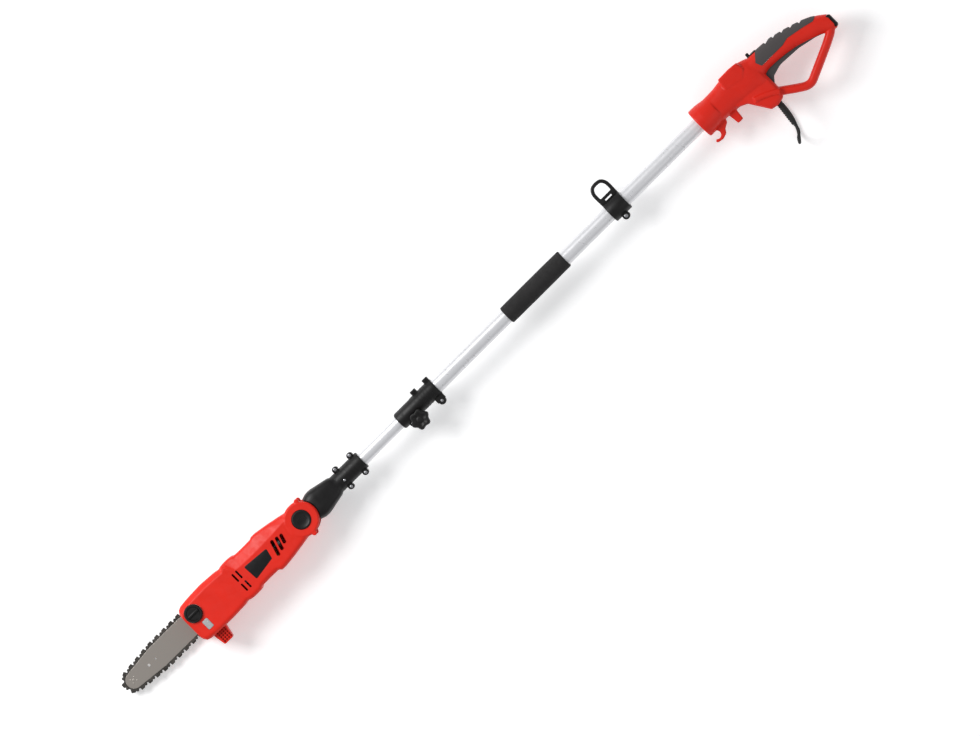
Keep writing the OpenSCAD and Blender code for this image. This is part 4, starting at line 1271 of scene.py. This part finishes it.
@dataclass
class Neck:
    """Black neck between the tilt joint and the inner tube."""

    end: float = 167.0
    barrel: float = 19.5
    fork: float = 38.2
    tongue: float = 33.0
    ears: tuple[Spot, ...] = ((115, 23.5), (155, 23.5), (115, -23.5), (155, -23.5))

    def form(self) -> bpy.types.Object:
        """Closed outer form: faceted cone, barrel, ears and the tongue of the joint.

        Returns:
            The form.
        """
        rows = [
            (20, 24, 24), (27, 27, 26), (38, 30.6, 29), (46, 31, 29.5), (52, 30.4, 29), (70, 26.5, 26),
            (89, 22.6, 22.6), (93, 21, 21), (95, self.barrel, self.barrel)
        ]
        body = loft("neck_form", [loop_x(x, 0, AXIS_Z, hy, hz, 3.6, 48) for x, hy, hz in rows] + [
            loop_x(x, 0, AXIS_Z, r, r, 2, 48) for x,
            r in ((100, 19.5), (self.end - 2, 19.5), (self.end - 0.6, 19.2), (self.end, 18.4))
        ])
        boolean(body, [drill(0, 0, AXIS_Z - 60, AXIS_Z + 60, self.fork, 64)])
        ears = []
        for x, y in self.ears:
            sign = 1 if y > 0 else -1
            ears.append(
                lathe_z(
                    "ear", x, y - sign * 1.2,
                    [(AXIS_Z - 10.5, 5.6), (AXIS_Z - 9.5, 6.6), (AXIS_Z + 9, 6.6), (AXIS_Z + 10, 5.6)], 28
                )
            )
            ears.append(
                box(
                    "ear_root", (x - 5.5, min(y - sign * 12, y), AXIS_Z - 8.5),
                    (x + 5.5, max(y - sign * 12, y), AXIS_Z + 8.5), 1
                )
            )
        tongue = lathe_z(
            "tongue", 0, 0,
            [
                (AXIS_Z - 21.5, 32), (AXIS_Z - 20.6, self.tongue), (AXIS_Z + 20.6, self.tongue),
                (AXIS_Z + 21.5, 32)
            ],
            64
        )
        link = box("link", (18, -24, AXIS_Z - 18), (44, 24, AXIS_Z + 18), 2)
        return boolean(body, [tongue, link, *ears], "UNION")

    def build(self) -> None:
        """Parts the neck into two closed halves and adds its screws."""
        form = self.form()
        bores = [
            bore(97, self.end + 5, 14.05),
            bore(34, 110, 9),
            drill(0, 0, AXIS_Z + 5, AXIS_Z + 60, 19.7, 64),
            drill(0, 0, AXIS_Z - 60, AXIS_Z + 60, 4.1, 24),
        ]
        boolean(form, bores)
        for i in range(7):
            x = 104 + 8.4 * i
            ring = bore(x, x + 1.0, 25)
            boolean(ring, [bore(x - 1, x + 2, self.barrel - 0.35)])
            boolean(form, [ring])
        for half, name in ((Half.NEAR, "neck_shell_near"), (Half.FAR, "neck_shell_far")):
            piece = copy_of(form, f"{name}_skin")
            away = AXIS_Z - half.value * 60
            edge = AXIS_Z + half.value * 0.12
            boolean(piece, [box("other_side", (-60, -60, min(away, edge)), (260, 60, max(away, edge)))])
            for x, y in self.ears:
                well = (AXIS_Z + 7.2, AXIS_Z + 30) if half is Half.NEAR else (AXIS_Z - 30, AXIS_Z - 8.2)
                boolean(piece, [lathe_z("well", x, y, [(well[0], 3.9), (well[1], 3.9)], 20)])
            smooth(piece, 24)
            dress(piece, BLACK, "black_plastic", "lower_pole", name)
        bpy.data.objects.remove(form)
        screws("neck_screw_set", list(self.ears), AXIS_Z + 9.4, "lower_pole", "neck_screws", 3.5)
        dress(
            tidy(screw_at("tube_screw", 115, -5, AXIS_Z + self.barrel + 0.6, 2.6, 2)), ZINC, "zinc_steel",
            "lower_pole"
        )


@dataclass
class Pole:
    """Both tubes, the clamp between them, the foam grip and the strap clip."""

    inner_r: float = 14.0
    outer_r: float = 16.0
    wall: float = 1.5
    clamp_x: float = field(default_factory=lambda: low_x("clamp_shell_near"))
    clamp_len: float = 102.0
    knob_r: float = 21.0

    def tube(self, name: str, node: str, radius: float, body: str) -> None:
        """A drawn tube with softened ends.

        Args:
            name: the piece's name.
            node: the CAD node that it stands for.
            radius: its outer radius.
            body: the body that it rides on.
        """
        x0, x1 = low_x(node), high_x(node)
        bore = radius - self.wall
        rows = [
            (x0 + 0.4, bore), (x0, bore + 0.4), (x0, radius - 0.4), (x0 + 0.4, radius), (x1 - 0.4, radius),
            (x1, radius - 0.4), (x1, bore + 0.4), (x1 - 0.4, bore)
        ]
        piece = loft(name, [loop_x(x, 0, AXIS_Z, r, r, 2, 64) for x, r in rows + rows[:1]], closed=True)
        dress(piece, TUBE, "silver_tube", body, node)

    def clamp(self) -> None:
        """Two clamp halves with their ears, ribs and screws."""
        x0 = self.clamp_x
        x1 = x0 + self.clamp_len
        small, large = self.inner_r + 4.7, self.outer_r + 3.5
        body = lathe_x("clamp_form", [
            (x0, small - 3.4), (x0 + 1.2, small - 1.4), (x0 + 4, small), (x0 + 43, small), (x0 + 50, large),
            (x1 - 2, large), (x1 - 0.6, large - 0.4), (x1, large - 1.4),
        ], 56)
        lugs = [
            box("bolt_lug", (x0 + 22, -34, AXIS_Z - 15), (x0 + 48, -10, AXIS_Z + 14.6), 2.5),
            box("rear_root", (x1 - 21, -29, AXIS_Z - 8.5), (x1 - 1, -11, AXIS_Z + 8.5), 1.5),
            lathe_z(
                "rear_lug", x1 - 11, -29,
                [(AXIS_Z - 9, 7), (AXIS_Z - 8, 8.2), (AXIS_Z + 8, 8.2), (AXIS_Z + 9, 7)], 32
            ),
            lathe_z(
                "small_boss", x0 + 18, -20,
                [(AXIS_Z - 9, 5), (AXIS_Z - 8, 6.2), (AXIS_Z + 8, 6.2), (AXIS_Z + 9, 5)], 28
            ),
            box("top_lug", (x1 - 13.4, 10, AXIS_Z - 9), (x1 - 0.6, 27.4, AXIS_Z + 9), 1.6),
            box("mid_lug", (x0 + 55.6, 10, AXIS_Z - 9), (x0 + 68.4, 27.4, AXIS_Z + 9), 1.6),
        ]
        for i in range(5):
            x = x0 + 60 + 7 * i
            rib = lathe_x(
                "rib", [(x, large - 1), (x + 0.5, large + 0.55), (x + 2, large + 0.55), (x + 2.5, large - 1)],
                56
            )
            lugs.append(rib)
        boolean(body, lugs, "UNION")
        bolt = (x0 + 35, -25.0)
        bright, dark = [(x1 - 11, -29.0), (x0 + 18, -20.0)], [(x1 - 7, 22.5), (x0 + 62, 22.5)]
        boolean(body, [
            bore(x0 - 5, x1 + 5, self.inner_r + 0.35),
            bore(x0 + 8, x0 + 46, 16.2),
            bore(x0 + 54, x1 + 5, self.outer_r + 0.02),
            drill(*bolt, 0, 150, 3.2, 20),
            box("saw_cut", (x0 - 2, -50, AXIS_Z - 0.6), (x0 + 49, -10, AXIS_Z + 0.6)),
            *[drill(x, y, AXIS_Z + 6.6, AXIS_Z + 30, 3.3, 20) for x, y in bright + dark],
        ])
        for half, name in ((Half.NEAR, "clamp_shell_near"), (Half.FAR, "clamp_shell_far")):
            piece = copy_of(body, f"{name}_skin")
            away = AXIS_Z - half.value * 60
            edge = AXIS_Z + half.value * 0.12
            boolean(piece, [box("other_side", (x0 - 20, -80, min(away, edge)), (x1 + 20, 80, max(away, edge)))])
            smooth(piece, 30)
            dress(piece, BLACK, "black_plastic", "handle", name)
        bpy.data.objects.remove(body)
        screws("clamp_screw_set", bright, AXIS_Z + 8.4, "handle", "clamp_screws", 3.1)
        screws("clamp_tab_screws", dark, AXIS_Z + 8.0, "handle", "clamp_screws", 3.1, DARK_SCREW)

    def knob(self) -> None:
        """Six-lobed knob with a dished face and a raised middle."""
        x, y = self.clamp_x + 35, -25.0
        r = self.knob_r

        def star(scale: float, z: float) -> Section:
            """The knob's lobed outline at a height.

            Args:
                scale: the outline's size, 1 for the full knob.
                z: its height.

            Returns:
                The outline's points.
            """
            loop = []
            for i in range(96):
                a = TURN * i / 96
                radius = (r - 1.8 + 1.8 * math.cos(6 * a)) * scale
                loop.append(at(x + radius * math.cos(a), y + radius * math.sin(a), z))
            return loop

        z0 = AXIS_Z + 15.4
        rows = [
            (0.55, z0), (0.6, z0 + 4), (0.9, z0 + 5), (0.98, z0 + 6.5), (1.0, z0 + 9), (0.99, z0 + 14),
            (0.95, z0 + 17), (0.87, z0 + 18.6), (0.74, z0 + 19), (0.62, z0 + 18.2), (0.5, z0 + 16.6),
            (0.36, z0 + 16.4)
        ]
        knob = loft("star_knob_top", [star(s, z) for s, z in rows])
        cap = lathe_z(
            "knob_middle", x, y, [(z0 + 15, 7), (z0 + 17, 7), (z0 + 17.6, 6.2), (z0 + 17.9, 4), (z0 + 18, 1.5)],
            36
        )
        boolean(knob, [drill(x, y, z0 - 2, z0 + 15.5, 3.2, 24)])
        boolean(knob, [drill(x, y, z0 + 9.9, z0 + 15.4, 6.1, 6)])
        dress(join("star_knob_top", [knob, cap]), BLACK, "black_plastic", "star_knob", "clamp_knob")

    def foam(self) -> None:
        """Foam sleeve, slightly swollen, with tucked ends."""
        x0, x1 = low_x("foam_grip"), high_x("foam_grip")
        r = 20.0
        rows = [(x0 + 1.5, self.outer_r + 0.02), (x0, 17.2), (x0 + 0.6, 18.8), (x0 + 2.4, 19.6)]
        for i in range(15):
            t = i / 14
            x = x0 + 6 + (x1 - x0 - 12) * t
            rows.append((x, r - 0.35 + 0.25 * math.sin(math.pi * t) + 0.08 * math.sin(19 * t)))
        rows += [(x1 - 2.4, 19.6), (x1 - 0.6, 18.8), (x1, 17.2), (x1 - 1.5, self.outer_r + 0.02)]
        piece = loft(
            "foam_sleeve", [loop_x(x, 0, AXIS_Z, q, q, 2, 56) for x, q in rows + rows[:1]], closed=True
        )
        dress(piece, FOAM, "foam", "handle", "foam_grip")

    def strap_clip(self) -> None:
        """Clip round the outer tube with its open ring and its closing screw."""
        x0, x1 = low_x("strap_clip"), high_x("strap_clip")
        mid = (x0 + x1) / 2
        r = self.outer_r + 6.3
        body = lathe_x(
            "clip_form",
            [
                (mid - 20.5, r - 1.4), (mid - 19.6, r - 0.3), (mid - 18.6, r), (mid + 18.6, r),
                (mid + 19.6, r - 0.3), (mid + 20.5, r - 1.4)
            ],
            56
        )
        base = plate(
            "clip_base", [(mid - 21, 10, 1), (mid + 21, 10, 1), (mid + 21, 34, 2), (mid - 21, 34, 2)],
            AXIS_Z - 6, AXIS_Z + 6, 1.5, 1.5
        )
        line = [
            (17.6, 30), (17.8, 42), (16.2, 51), (11, 58), (4, 60.2), (-4, 60.2), (-11, 58), (-16.2, 51),
            (-17.8, 42), (-17.6, 30)
        ]
        ring = sweep(
            "clip_ring", curve_through([at(mid + u, v, AXIS_Z) for u, v in line], 4), 3.8, 5.4, 2.8, 20
        )
        lug = lathe_z(
            "clip_lug", mid, -26,
            [(AXIS_Z - 12, 6.6), (AXIS_Z - 10.8, 7.8), (AXIS_Z + 10.8, 7.8), (AXIS_Z + 12, 6.6)], 32
        )
        root = box("lug_root", (mid - 7.4, -26, AXIS_Z - 11), (mid + 7.4, -14, AXIS_Z + 11), 1)
        boolean(body, [base, ring, lug, root], "UNION")
        gap = [
            (mid - 14, 32, 1.5), (mid + 14, 32, 1.5), (mid + 14, 47, 7), (mid + 8, 56.5, 6), (mid - 8, 56.5, 6),
            (mid - 14, 47, 7)
        ]
        boolean(body, [
            plate("ring_gap", gap, 0, 120, 0, 0, 1),
            box("tongue_slot", (mid - 8.5, 22.6, 0), (mid + 8.5, 25.6, 120)),
            bore(x0 - 5, x1 + 5, self.outer_r + 0.02),
            box("split", (x0 - 5, -60, AXIS_Z - 1.2), (x1 + 5, -13, AXIS_Z + 1.2)),
            drill(mid, -26.5, 0, 120, 2.6, 20),
            drill(mid, -26.5, AXIS_Z + 8, 120, 4.9, 28),
            drill(mid, -26.5, 0, AXIS_Z - 8, 4.9, 6),
        ])
        smooth(body, 32)
        dress(body, BLACK, "black_plastic", "handle", "strap_clip")
        screws("clip_screw", [(mid, -26.5)], AXIS_Z + 11, "handle", "strap_clip_screw", 4.5)

    def build(self) -> None:
        """Builds the pole's pieces."""
        self.tube("inner_tube_skin", "inner_tube", self.inner_r, "lower_pole")
        self.tube("outer_tube_skin", "outer_tube", self.outer_r, "handle")
        self.clamp()
        self.knob()
        self.foam()
        self.strap_clip()


# ---------------------------------------------------------------- handle and cord


@dataclass
class Handle:
    """D-shaped rear handle; its stations count from the front of the collar."""

    start: float = field(default_factory=lambda: low_x("handle_shell_near"))
    wall: float = 2.6

    def h(self, a: float) -> float:
        """Turns a station of the handle into millimetres from the pivot."""
        return self.start + a

    def rows(
        self, table: Iterable[tuple[float, float, float, float]], power: float, grow: float = 0.0
    ) -> list[Section]:
        """Squarish loops from (station, top, bottom, half thickness)."""
        return [
            loop_x(self.h(a), (t + b) / 2, AXIS_Z, (t - b) / 2 + grow, half + grow, power, 48) for a, t, b,
            half in table
        ]

    GRIP = (
        (146, 29, -32, 21), (160, 26.6, -24, 20.5), (176, 25.6, -20.2, 20), (196, 24.6, -21, 19.5),
        (220, 22.6, -23.4, 19),
        (244, 16.8, -27.4, 18.8), (269, 9.6, -34.8, 18.6), (289, 2.8, -41.8, 18.4), (304, -4, -47, 18),
        (318, -12.4, -55, 17.2),
        (328, -20, -56, 16.4), (331.4, -23, -54.4, 15.6),
    )
    PAD = (
        (165, 7.5, 0.5), (170, -5, 2), (227, -5, 4), (243, -1.2, 6), (278, -7.5, 8), (303, -13.4, 3),
        (312, -9, 2),
        (300, 16, 0.5), (192, 40, 0.5),
    )

    def form(self) -> bpy.types.Object:
        """Closed outer form of the handle.

        Returns:
            The form.
        """
        collar = lathe_x("collar_form", [(self.h(a), r) for a, r in (
            (0, 31), (1.2, 32.4), (4, 32.7), (18, 32.4), (30, 30.8), (46, 28))], 64)
        body = loft("body_form", [
            loop_x(self.h(a), (top + low) / 2, AXIS_Z, (top - low) / 2, half, power, 56) for a, top, low, half,
            power in (
                (16, 29, -29, 27, 2.2), (36, 29.4, -29, 26, 2.3), (51, 29.6, -29.6, 25, 2.4),
                (66, 30, -30.6, 24.4, 2.5),
                (80, 32, -32, 23.6, 2.6), (100, 34.4, -35, 23.2, 2.6), (117, 34.6, -37, 23.2, 2.6),
                (134, 34.4, -39, 23.2, 2.6), (146, 31, -43, 22.6, 2.6), (156, 27.4, -46, 21, 2.6),
                (163, 24, -44, 16, 2.6),
            )])
        shoulder = plate("shoulder_form", [
            (self.h(84), 10, 4), (self.h(112), 5, 8), (self.h(126), 1, 6), (self.h(141), 17, 6),
            (self.h(137), 35, 3),
            (self.h(117), 37, 8), (self.h(88), 36.4, 3)], AXIS_Z - 23.8, AXIS_Z + 23.8, 3, 3, 4)
        root = sweep(
            "root_form",
            curve_through(
                [at(self.h(a), y, AXIS_Z) for a, y in ((112, -43), (130, -49), (148, -58), (160, -66))], 4
            ),
            7.5, 22.6, 3.4, 28
        )
        belly = plate("belly_form", [
            (self.h(74), -20, 2), (self.h(80), -31, 6), (self.h(97), -39, 5), (self.h(123), -80, 6),
            (self.h(138), -82.6, 5),
            (self.h(156), -79, 8), (self.h(163), -60, 6),
            (self.h(163), -20, 3)], AXIS_Z - 18.5, AXIS_Z + 18.5, 8, 8, 6)
        grip = loft("grip_form", self.rows(self.GRIP, 2.4))
        line = [
            (132, -46), (156, -63), (180, -80), (198, -92), (206, -95.8), (213, -97), (221, -95.6), (236, -89),
            (266, -75.4), (296, -61.4), (314, -51), (322, -40)
        ]
        loop = sweep(
            "loop_form", curve_through([at(self.h(a), y, AXIS_Z) for a, y in line], 4), 9.0, 13.5, 2.6, 28
        )
        arm = plate("hook_form", [
            (self.h(4), -27, 1), (self.h(3), -46, 2), (self.h(-2), -47, 2), (self.h(2), -52, 2.5),
            (self.h(14), -54, 5),
            (self.h(26), -50, 5), (self.h(31), -42, 5), (self.h(42), -36, 5),
            (self.h(46), -27, 1)], AXIS_Z - 7, AXIS_Z + 7, 1.6, 1.6)
        boolean(arm, [drill(self.h(10), -39, 0, 150, 8.7, 32)])
        post = plate(
            "post_form",
            [(self.h(54), -27, 1), (self.h(57), -53, 2), (self.h(70), -53, 2), (self.h(73), -27, 1)],
            AXIS_Z - 7, AXIS_Z + 7, 2, 2
        )
        return fuse("handle_body", [collar, body, shoulder, root, belly, grip, loop, arm, post], 1.2, 3)

    def pad_prism(self, grow: float, z0: float, z1: float) -> bpy.types.Object:
        """Block with the pad's side outline."""
        outline = rounded([(self.h(a), y, r) for a, y, r in self.PAD])
        return loft("pad_prism", [[at(x, y, z) for x, y in shrunk(outline, -grow)] for z in (z0, z1)])

    def shells(self) -> None:
        """Both red shells with their openings, seams and screw wells."""
        form = self.form()
        room = inner_form(form, self.wall)
        rel = Relief(self)
        for half, name in ((Half.NEAR, "handle_shell_near"), (Half.FAR, "handle_shell_far")):
            shell = shell_half(form, room, f"{name}_skin", half)
            cuts = [
                bore(self.h(-5), self.h(63), 16.05),
                box("trigger_slot", (self.h(155), -50, AXIS_Z - 9), (self.h(297), -10, AXIS_Z + 9)),
                box("button_window", (self.h(157), 12, AXIS_Z - 8.6), (self.h(190), 60, AXIS_Z + 8.6)),
                self.pad_prism(0.15, 0, 160),
                rel.seat(),
                box("cap_seat", (self.h(329), -54, 0), (self.h(345), -23.8, 150)),
            ]
            if half is Half.FAR:
                for a, y in self.screw_spots():
                    cuts.append(drill(self.h(a), y, AXIS_Z - 50, AXIS_Z - 8, 3.9, 24))
            boolean(shell, cuts)
            smooth(shell, 40)
            dress(shell, RED, "red_housing", "handle", name)
        self.pad()
        bpy.data.objects.remove(form)
        bpy.data.objects.remove(room)

    def screw_spots(self) -> list[Spot]:
        """Stations of the handle's screws."""
        return [(70, 23), (70, -23), (132, 28), (140, -66), (190, -90), (246, -81), (320, -42), (148, 6)]

    def crest(self, a: float) -> float:
        """Height of the grip's top edge at a station."""
        for (a0, top0, *_), (a1, top1, *_) in zip(self.GRIP, self.GRIP[1:]):
            if a0 <= a <= a1:
                return top0 + (top1 - top0) * (a - a0) / (a1 - a0)
        return self.GRIP[-1][1]

    def pad(self) -> None:
        """Soft pad over the grip, with stepped notches along its crest."""
        pad = loft("grip_pad_skin", self.rows(self.GRIP, 2.4, 0.9))
        boolean(pad, [self.pad_prism(0.0, 0, 160)], "INTERSECT")
        boolean(pad, [loft("pad_room", self.rows(self.GRIP, 2.4, -3.0))])
        for i in range(5):
            a = 204 + 19 * i
            y = self.crest(a) + 1.2
            notch = [
                (self.h(a - 2.6), y + 4, 0.1), (self.h(a), y - 4.5, 0.3), (self.h(a + 12), y - 0.9, 0.3),
                (self.h(a + 12), y + 4, 0.1)
            ]
            boolean(pad, [plate("notch", notch, AXIS_Z - 40, AXIS_Z + 40, 0, 0, 1)])
        smooth(pad, 35)
        dress(pad, RUBBER, "soft_rubber", "handle", "grip_pad")

    def small_pieces(self) -> None:
        """End cap, trigger, lock-off button and screws."""
        cap = plate(
            "end_cap_skin",
            [
                (self.h(327), -53.6, 1), (self.h(332.6), -54, 3), (self.h(335), -50, 3), (self.h(335), -27, 3),
                (self.h(331.6), -24.2, 2), (self.h(327), -24.2, 1)
            ],
            AXIS_Z - 15, AXIS_Z + 15, 2.4, 2.4, 3
        )
        dress(cap, BLACK, "black_plastic", "handle", "handle_end_cap")
        trigger = plate("trigger_blade", [
            (self.h(160), -24, 2), (self.h(158), -47, 2.4), (self.h(164), -46, 2.4), (self.h(172), -36, 9),
            (self.h(196), -29, 30), (self.h(246), -31.6, 40),
            (self.h(284), -39.6, 20), (self.h(300), -45, 2.5), (self.h(310), -38, 3), (self.h(310), -30, 3),
            (self.h(220), -16, 30),
            (self.h(174), -13, 5), (self.h(160), -16, 4)], AXIS_Z - 8, AXIS_Z + 8, 1.6, 1.6, 3)
        pin = middle("trigger_pin")
        hole = drill((pin.x - PIVOT.x) / MM, (pin.y - PIVOT.y) / MM, 0, 150, 2.05, 24)
        boolean(trigger, [hole])
        smooth(trigger, 30)
        dress(trigger, TRIGGER_GREY, "trigger_plastic", "trigger_lever", "trigger")
        button = box("lock_body", (self.h(159), 14, AXIS_Z - 8), (self.h(181), 27.4, AXIS_Z + 8), 1.2)
        nub = box("lock_nub", (self.h(160), 26, AXIS_Z - 6), (self.h(166.5), 34, AXIS_Z + 6), 1.4)
        ribs = [
            box(
                "lock_rib", (self.h(169 + 3 * i), 27, AXIS_Z - 6), (self.h(170.4 + 3 * i), 28.3, AXIS_Z + 6),
                0.4
            )
            for i in range(4)
        ]
        dress(
            join("lock_off_slider", [button, nub, *ribs]), BLACK, "black_plastic", "lock_off", "lock_off_button"
        )
        heads = [
            turned_over(screw_at("far_screw", self.h(a), y, -AXIS_Z + 10.5, 3.5)) for a, y in self.screw_spots()
        ]
        dress(join("handle_screw_set", heads), ZINC, "zinc_steel", "handle", "handle_screws")

    def build(self) -> None:
        """Builds the handle."""
        self.shells()
        self.small_pieces()


@dataclass
class Relief:
    """Strain relief, mains cord and plug."""

    handle: Handle
    top: tuple[float, float] = (141.5, -81.0)
    tip: tuple[float, float] = (134.0, -132.0)
    cord_d: float = 6.2
    ROUTE = (
        (0, -0.2, 0), (-1.5, -10, 0), (-6, -18, -0.8), (-13.5, -24, -5), (-18, -30, -13), (-20, -33, -25),
        (-18, -30, -37.5), (-13.5, -24, -46), (-7, -14, -50.3), (-1, -1, -50.8), (4, 14, -50.8), (7, 32, -50.8),
        (8, 50, -50.8), (6, 72, -50.8), (0, 96, -50.5), (-10, 116, -48), (-23, 128, -43), (-34, 132, -40.7),
        (-43.8, 132, -40.5),
    )

    def point(self, along: float) -> Vector:
        """A point on the relief's own axis, by its distance below the handle in millimetres.

        Args:
            along: the distance below the handle in millimetres.

        Returns:
            The point in metres.
        """
        a = at(self.handle.h(self.top[0]), self.top[1], AXIS_Z)
        b = at(self.handle.h(self.tip[0]), self.tip[1], AXIS_Z)
        return a + (b - a).normalized() * along * MM

    def ring(self, along: float, radius: float, count: int = 32) -> Section:
        """A circle across the relief's axis.

        Args:
            along: the distance below the handle in millimetres.
            radius: the circle's radius.
            count: number of points.

        Returns:
            The circle's points.
        """
        ahead = (self.point(1) - self.point(0)).normalized()
        side = ahead.cross(Vector((0, 0, 1))).normalized()
        centre = self.point(along)
        return [
            centre + (
                side * math.cos(TURN * i / count) + Vector((0, 0, 1)) * math.sin(TURN * i / count)
            ) * radius * MM
            for i in range(count)
        ]

    def seat(self) -> bpy.types.Object:
        """Cutter for the relief's hole in the handle."""
        return loft("relief_seat", [self.ring(-10, 6.9), self.ring(9, 6.9)])

    def build(self) -> None:
        length = (self.point(0) - at(self.handle.h(self.tip[0]), self.tip[1], AXIS_Z)).length / MM
        rows = [(-4, 5.2), (-4, 6.5), (3, 6.5)]
        for i in range(9):
            s = 5.2 + 5.05 * i
            r = 6.4 - 1.4 * s / length
            rows += [(s, r - 0.9), (s + 0.4, r), (s + 3.2, r), (s + 3.6, r - 0.9)]
        rows += [(length, 4.6)]
        sleeve = loft("relief_sleeve", [self.ring(s, r) for s, r in rows])
        sleeve = dress(tidy(sleeve, 30), CABLE, "cable_rubber", "handle", "strain_relief")
        tip = at(self.handle.h(self.tip[0]), self.tip[1], AXIS_Z)
        route = [tip + Vector(step) * MM for step in self.ROUTE]
        line = curve_through(route, 2)
        deselect()
        bpy.ops.curve.primitive_bezier_curve_add(location=(0, 0, 0))
        cord = bpy.context.object
        cord.name = "mains_cord_run"
        cord.data.splines.clear()
        spline = cord.data.splines.new("POLY")
        spline.points.add(len(line) - 1)
        for point, place in zip(spline.points, line):
            point.co = (*place, 1)
        cord.data.bevel_depth = self.cord_d / 2 * MM
        cord.data.bevel_resolution = 6
        cord.data.use_fill_caps = True
        cord.data.dimensions = "3D"
        take(cord)
        bpy.ops.object.convert(target="MESH")
        cord = bpy.context.object
        tidy(cord, 40)
        dress(cord, CABLE, "cable_rubber", "handle", "mains_cord")
        plug = self.plug(route[-1])

    def plug(self, end: Vector) -> bpy.types.Object:
        """Flat-sided two-pin plug with a ribbed neck and a finger grip.

        Args:
            end: where the cord meets the plug.

        Returns:
            The plug.
        """
        x1 = (end.x - PIVOT.x) / MM - 0.2
        y = (end.y - PIVOT.y) / MM
        z = end.z / MM
        low, high = low_x("mains_plug"), high_x("mains_plug")
        rows = []
        for x, hy, hz, power in (
            (low, 17, 12.2, 3.0), (low + 0.8, 18, 12.8, 3.0), (low + 10, 18.4, 13, 3.0),
            (low + 13, 17.8, 12.6, 2.8), (low + 24, 15.6, 11.4, 2.6),
            (low + 34, 16.4, 11.8, 2.6), (low + 40, 12.8, 10, 2.4), (low + 42, 8, 7, 2.2),
            (low + 43.5, 6, 6, 2),
            (low + 47, 5.8, 5.8, 2), (low + 47.4, 4.9, 4.9, 2), (low + 48.6, 4.9, 4.9, 2),
            (low + 49, 5.4, 5.4, 2), (low + 52, 5.2, 5.2, 2),
            (low + 52.4, 4.5, 4.5, 2), (low + 53.6, 4.5, 4.5, 2), (low + 54, 5, 5, 2), (low + 58, 4.6, 4.6, 2),
            (min(high, x1 + 0.2), 4.2, 4.2, 2),
        ):
            rows.append(loop_x(x, y, z, hy, hz, power, 40))
        piece = loft("plug_moulding", rows)
        grips = [
            box(
                "grip", (low + 17 + 3.2 * i, y - 10, z + 8),
                (low + 18.4 + 3.2 * i, y + 10, z + 12.7 - 0.15 * i), 0.4
            )
            for i in range(4)
        ]
        piece = join("plug_moulding", [piece, *grips])
        return dress(tidy(piece, 32), CABLE, "cable_rubber", "handle", "mains_plug")


# ---------------------------------------------------------------- studio


@dataclass(frozen=True)
class Studio:
    """Floor, light and camera."""

    distance: float = 40.0
    roll: float = 44.8
    yaw: float = 4.0
    lift: float = 0.0
    mm_per_unit: float = 1.972
    look: tuple[float, float, float] = (473.8, -50.1, 54.0)
    frame_width: int = 980
    sensor: float = 36.0
    floor_size: float = 14.0
    surround: float = 0.42

    def camera(self) -> None:
        """Long lens over the tool, rolled so that the pole climbs to the right."""
        data = bpy.data.cameras.new("studio_camera")
        camera = bpy.data.objects.new("studio_camera", data)
        bpy.context.scene.collection.objects.link(camera)
        yaw, lift = math.radians(self.yaw), math.radians(self.lift)
        back = Vector((math.sin(yaw) * math.cos(lift), -math.sin(lift), math.cos(yaw) * math.cos(lift)))
        target = at(*self.look)
        along = Vector((1, 0, 0)) - back * back.x
        along.normalize()
        across = back.cross(along)
        roll = math.radians(self.roll)
        right = along * math.cos(roll) - across * math.sin(roll)
        up = along * math.sin(roll) + across * math.cos(roll)
        turn = Matrix((right, up, back)).transposed().to_4x4()
        camera.matrix_world = Matrix.Translation(target + back * self.distance) @ turn
        data.sensor_width = self.sensor
        data.lens = self.sensor * self.distance / (self.frame_width * self.mm_per_unit * MM)
        data.clip_end = 100
        bpy.context.scene.camera = camera

    def floor(self) -> None:
        """Pale floor, which is not part of the tool."""
        deselect()
        bpy.ops.mesh.primitive_plane_add(size=self.floor_size, location=(0, 0, -0.0005))
        floor = bpy.context.object
        floor.name = "studio_floor"
        material = bpy.data.materials.new("pale_floor")
        material.use_nodes = True
        shader = material.node_tree.nodes["Principled BSDF"]
        shader.inputs["Base Color"].default_value = (0.93, 0.93, 0.93, 1)
        shader.inputs["Roughness"].default_value = 0.9
        shader.inputs["Emission Color"].default_value = (1.0, 1.0, 1.0, 1)
        shader.inputs["Emission Strength"].default_value = 0.3
        floor.data.materials.append(material)

    def lights(self) -> None:
        """Two soft panels and a bright, even surround."""
        bpy.context.scene.view_settings.view_transform = "Standard"
        world = bpy.data.worlds.new("studio_world")
        bpy.context.scene.world = world
        world.use_nodes = True
        back = world.node_tree.nodes["Background"]
        back.inputs["Color"].default_value = (0.97, 0.98, 1.0, 1)
        back.inputs["Strength"].default_value = self.surround
        for name, place, power, size in (
            ("key_panel", (-1.4, 2.2, 2.4), 102.0, 1.8), ("fill_panel", (1.8, -1.8, 2.4), 15.0, 2.6),
        ):
            light = bpy.data.lights.new(name, "AREA")
            light.energy = power
            light.size = size
            panel = bpy.data.objects.new(name, light)
            panel.location = place
            panel.rotation_euler = (-Vector(place)).to_track_quat("-Z", "Y").to_euler()
            bpy.context.scene.collection.objects.link(panel)


def dress_cad_nodes() -> None:
    """Gives every CAD node that still shows its finish."""
    for finish, names in CAD_FINISHES.items():
        for name in names.split():
            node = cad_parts[name]
            node.data.materials.clear()
            node.data.materials.append(finish.build())
    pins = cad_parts["plug_pins"]
    pins.data.materials.clear()
    pins.data.materials.append(NICKEL.build())


def main() -> None:
    """Builds the scene in order."""
    logging.basicConfig(level=logging.INFO, format="%(name)s: %(message)s")
    studio = Studio()
    studio.camera()
    handle = Handle()
    Relief(handle).build()
    handle.build()
    dress_cad_nodes()
    CuttingHead().build()
    Neck().build()
    Pole().build()
    studio.floor()
    studio.lights()


if __name__ == "__main__":
    main()
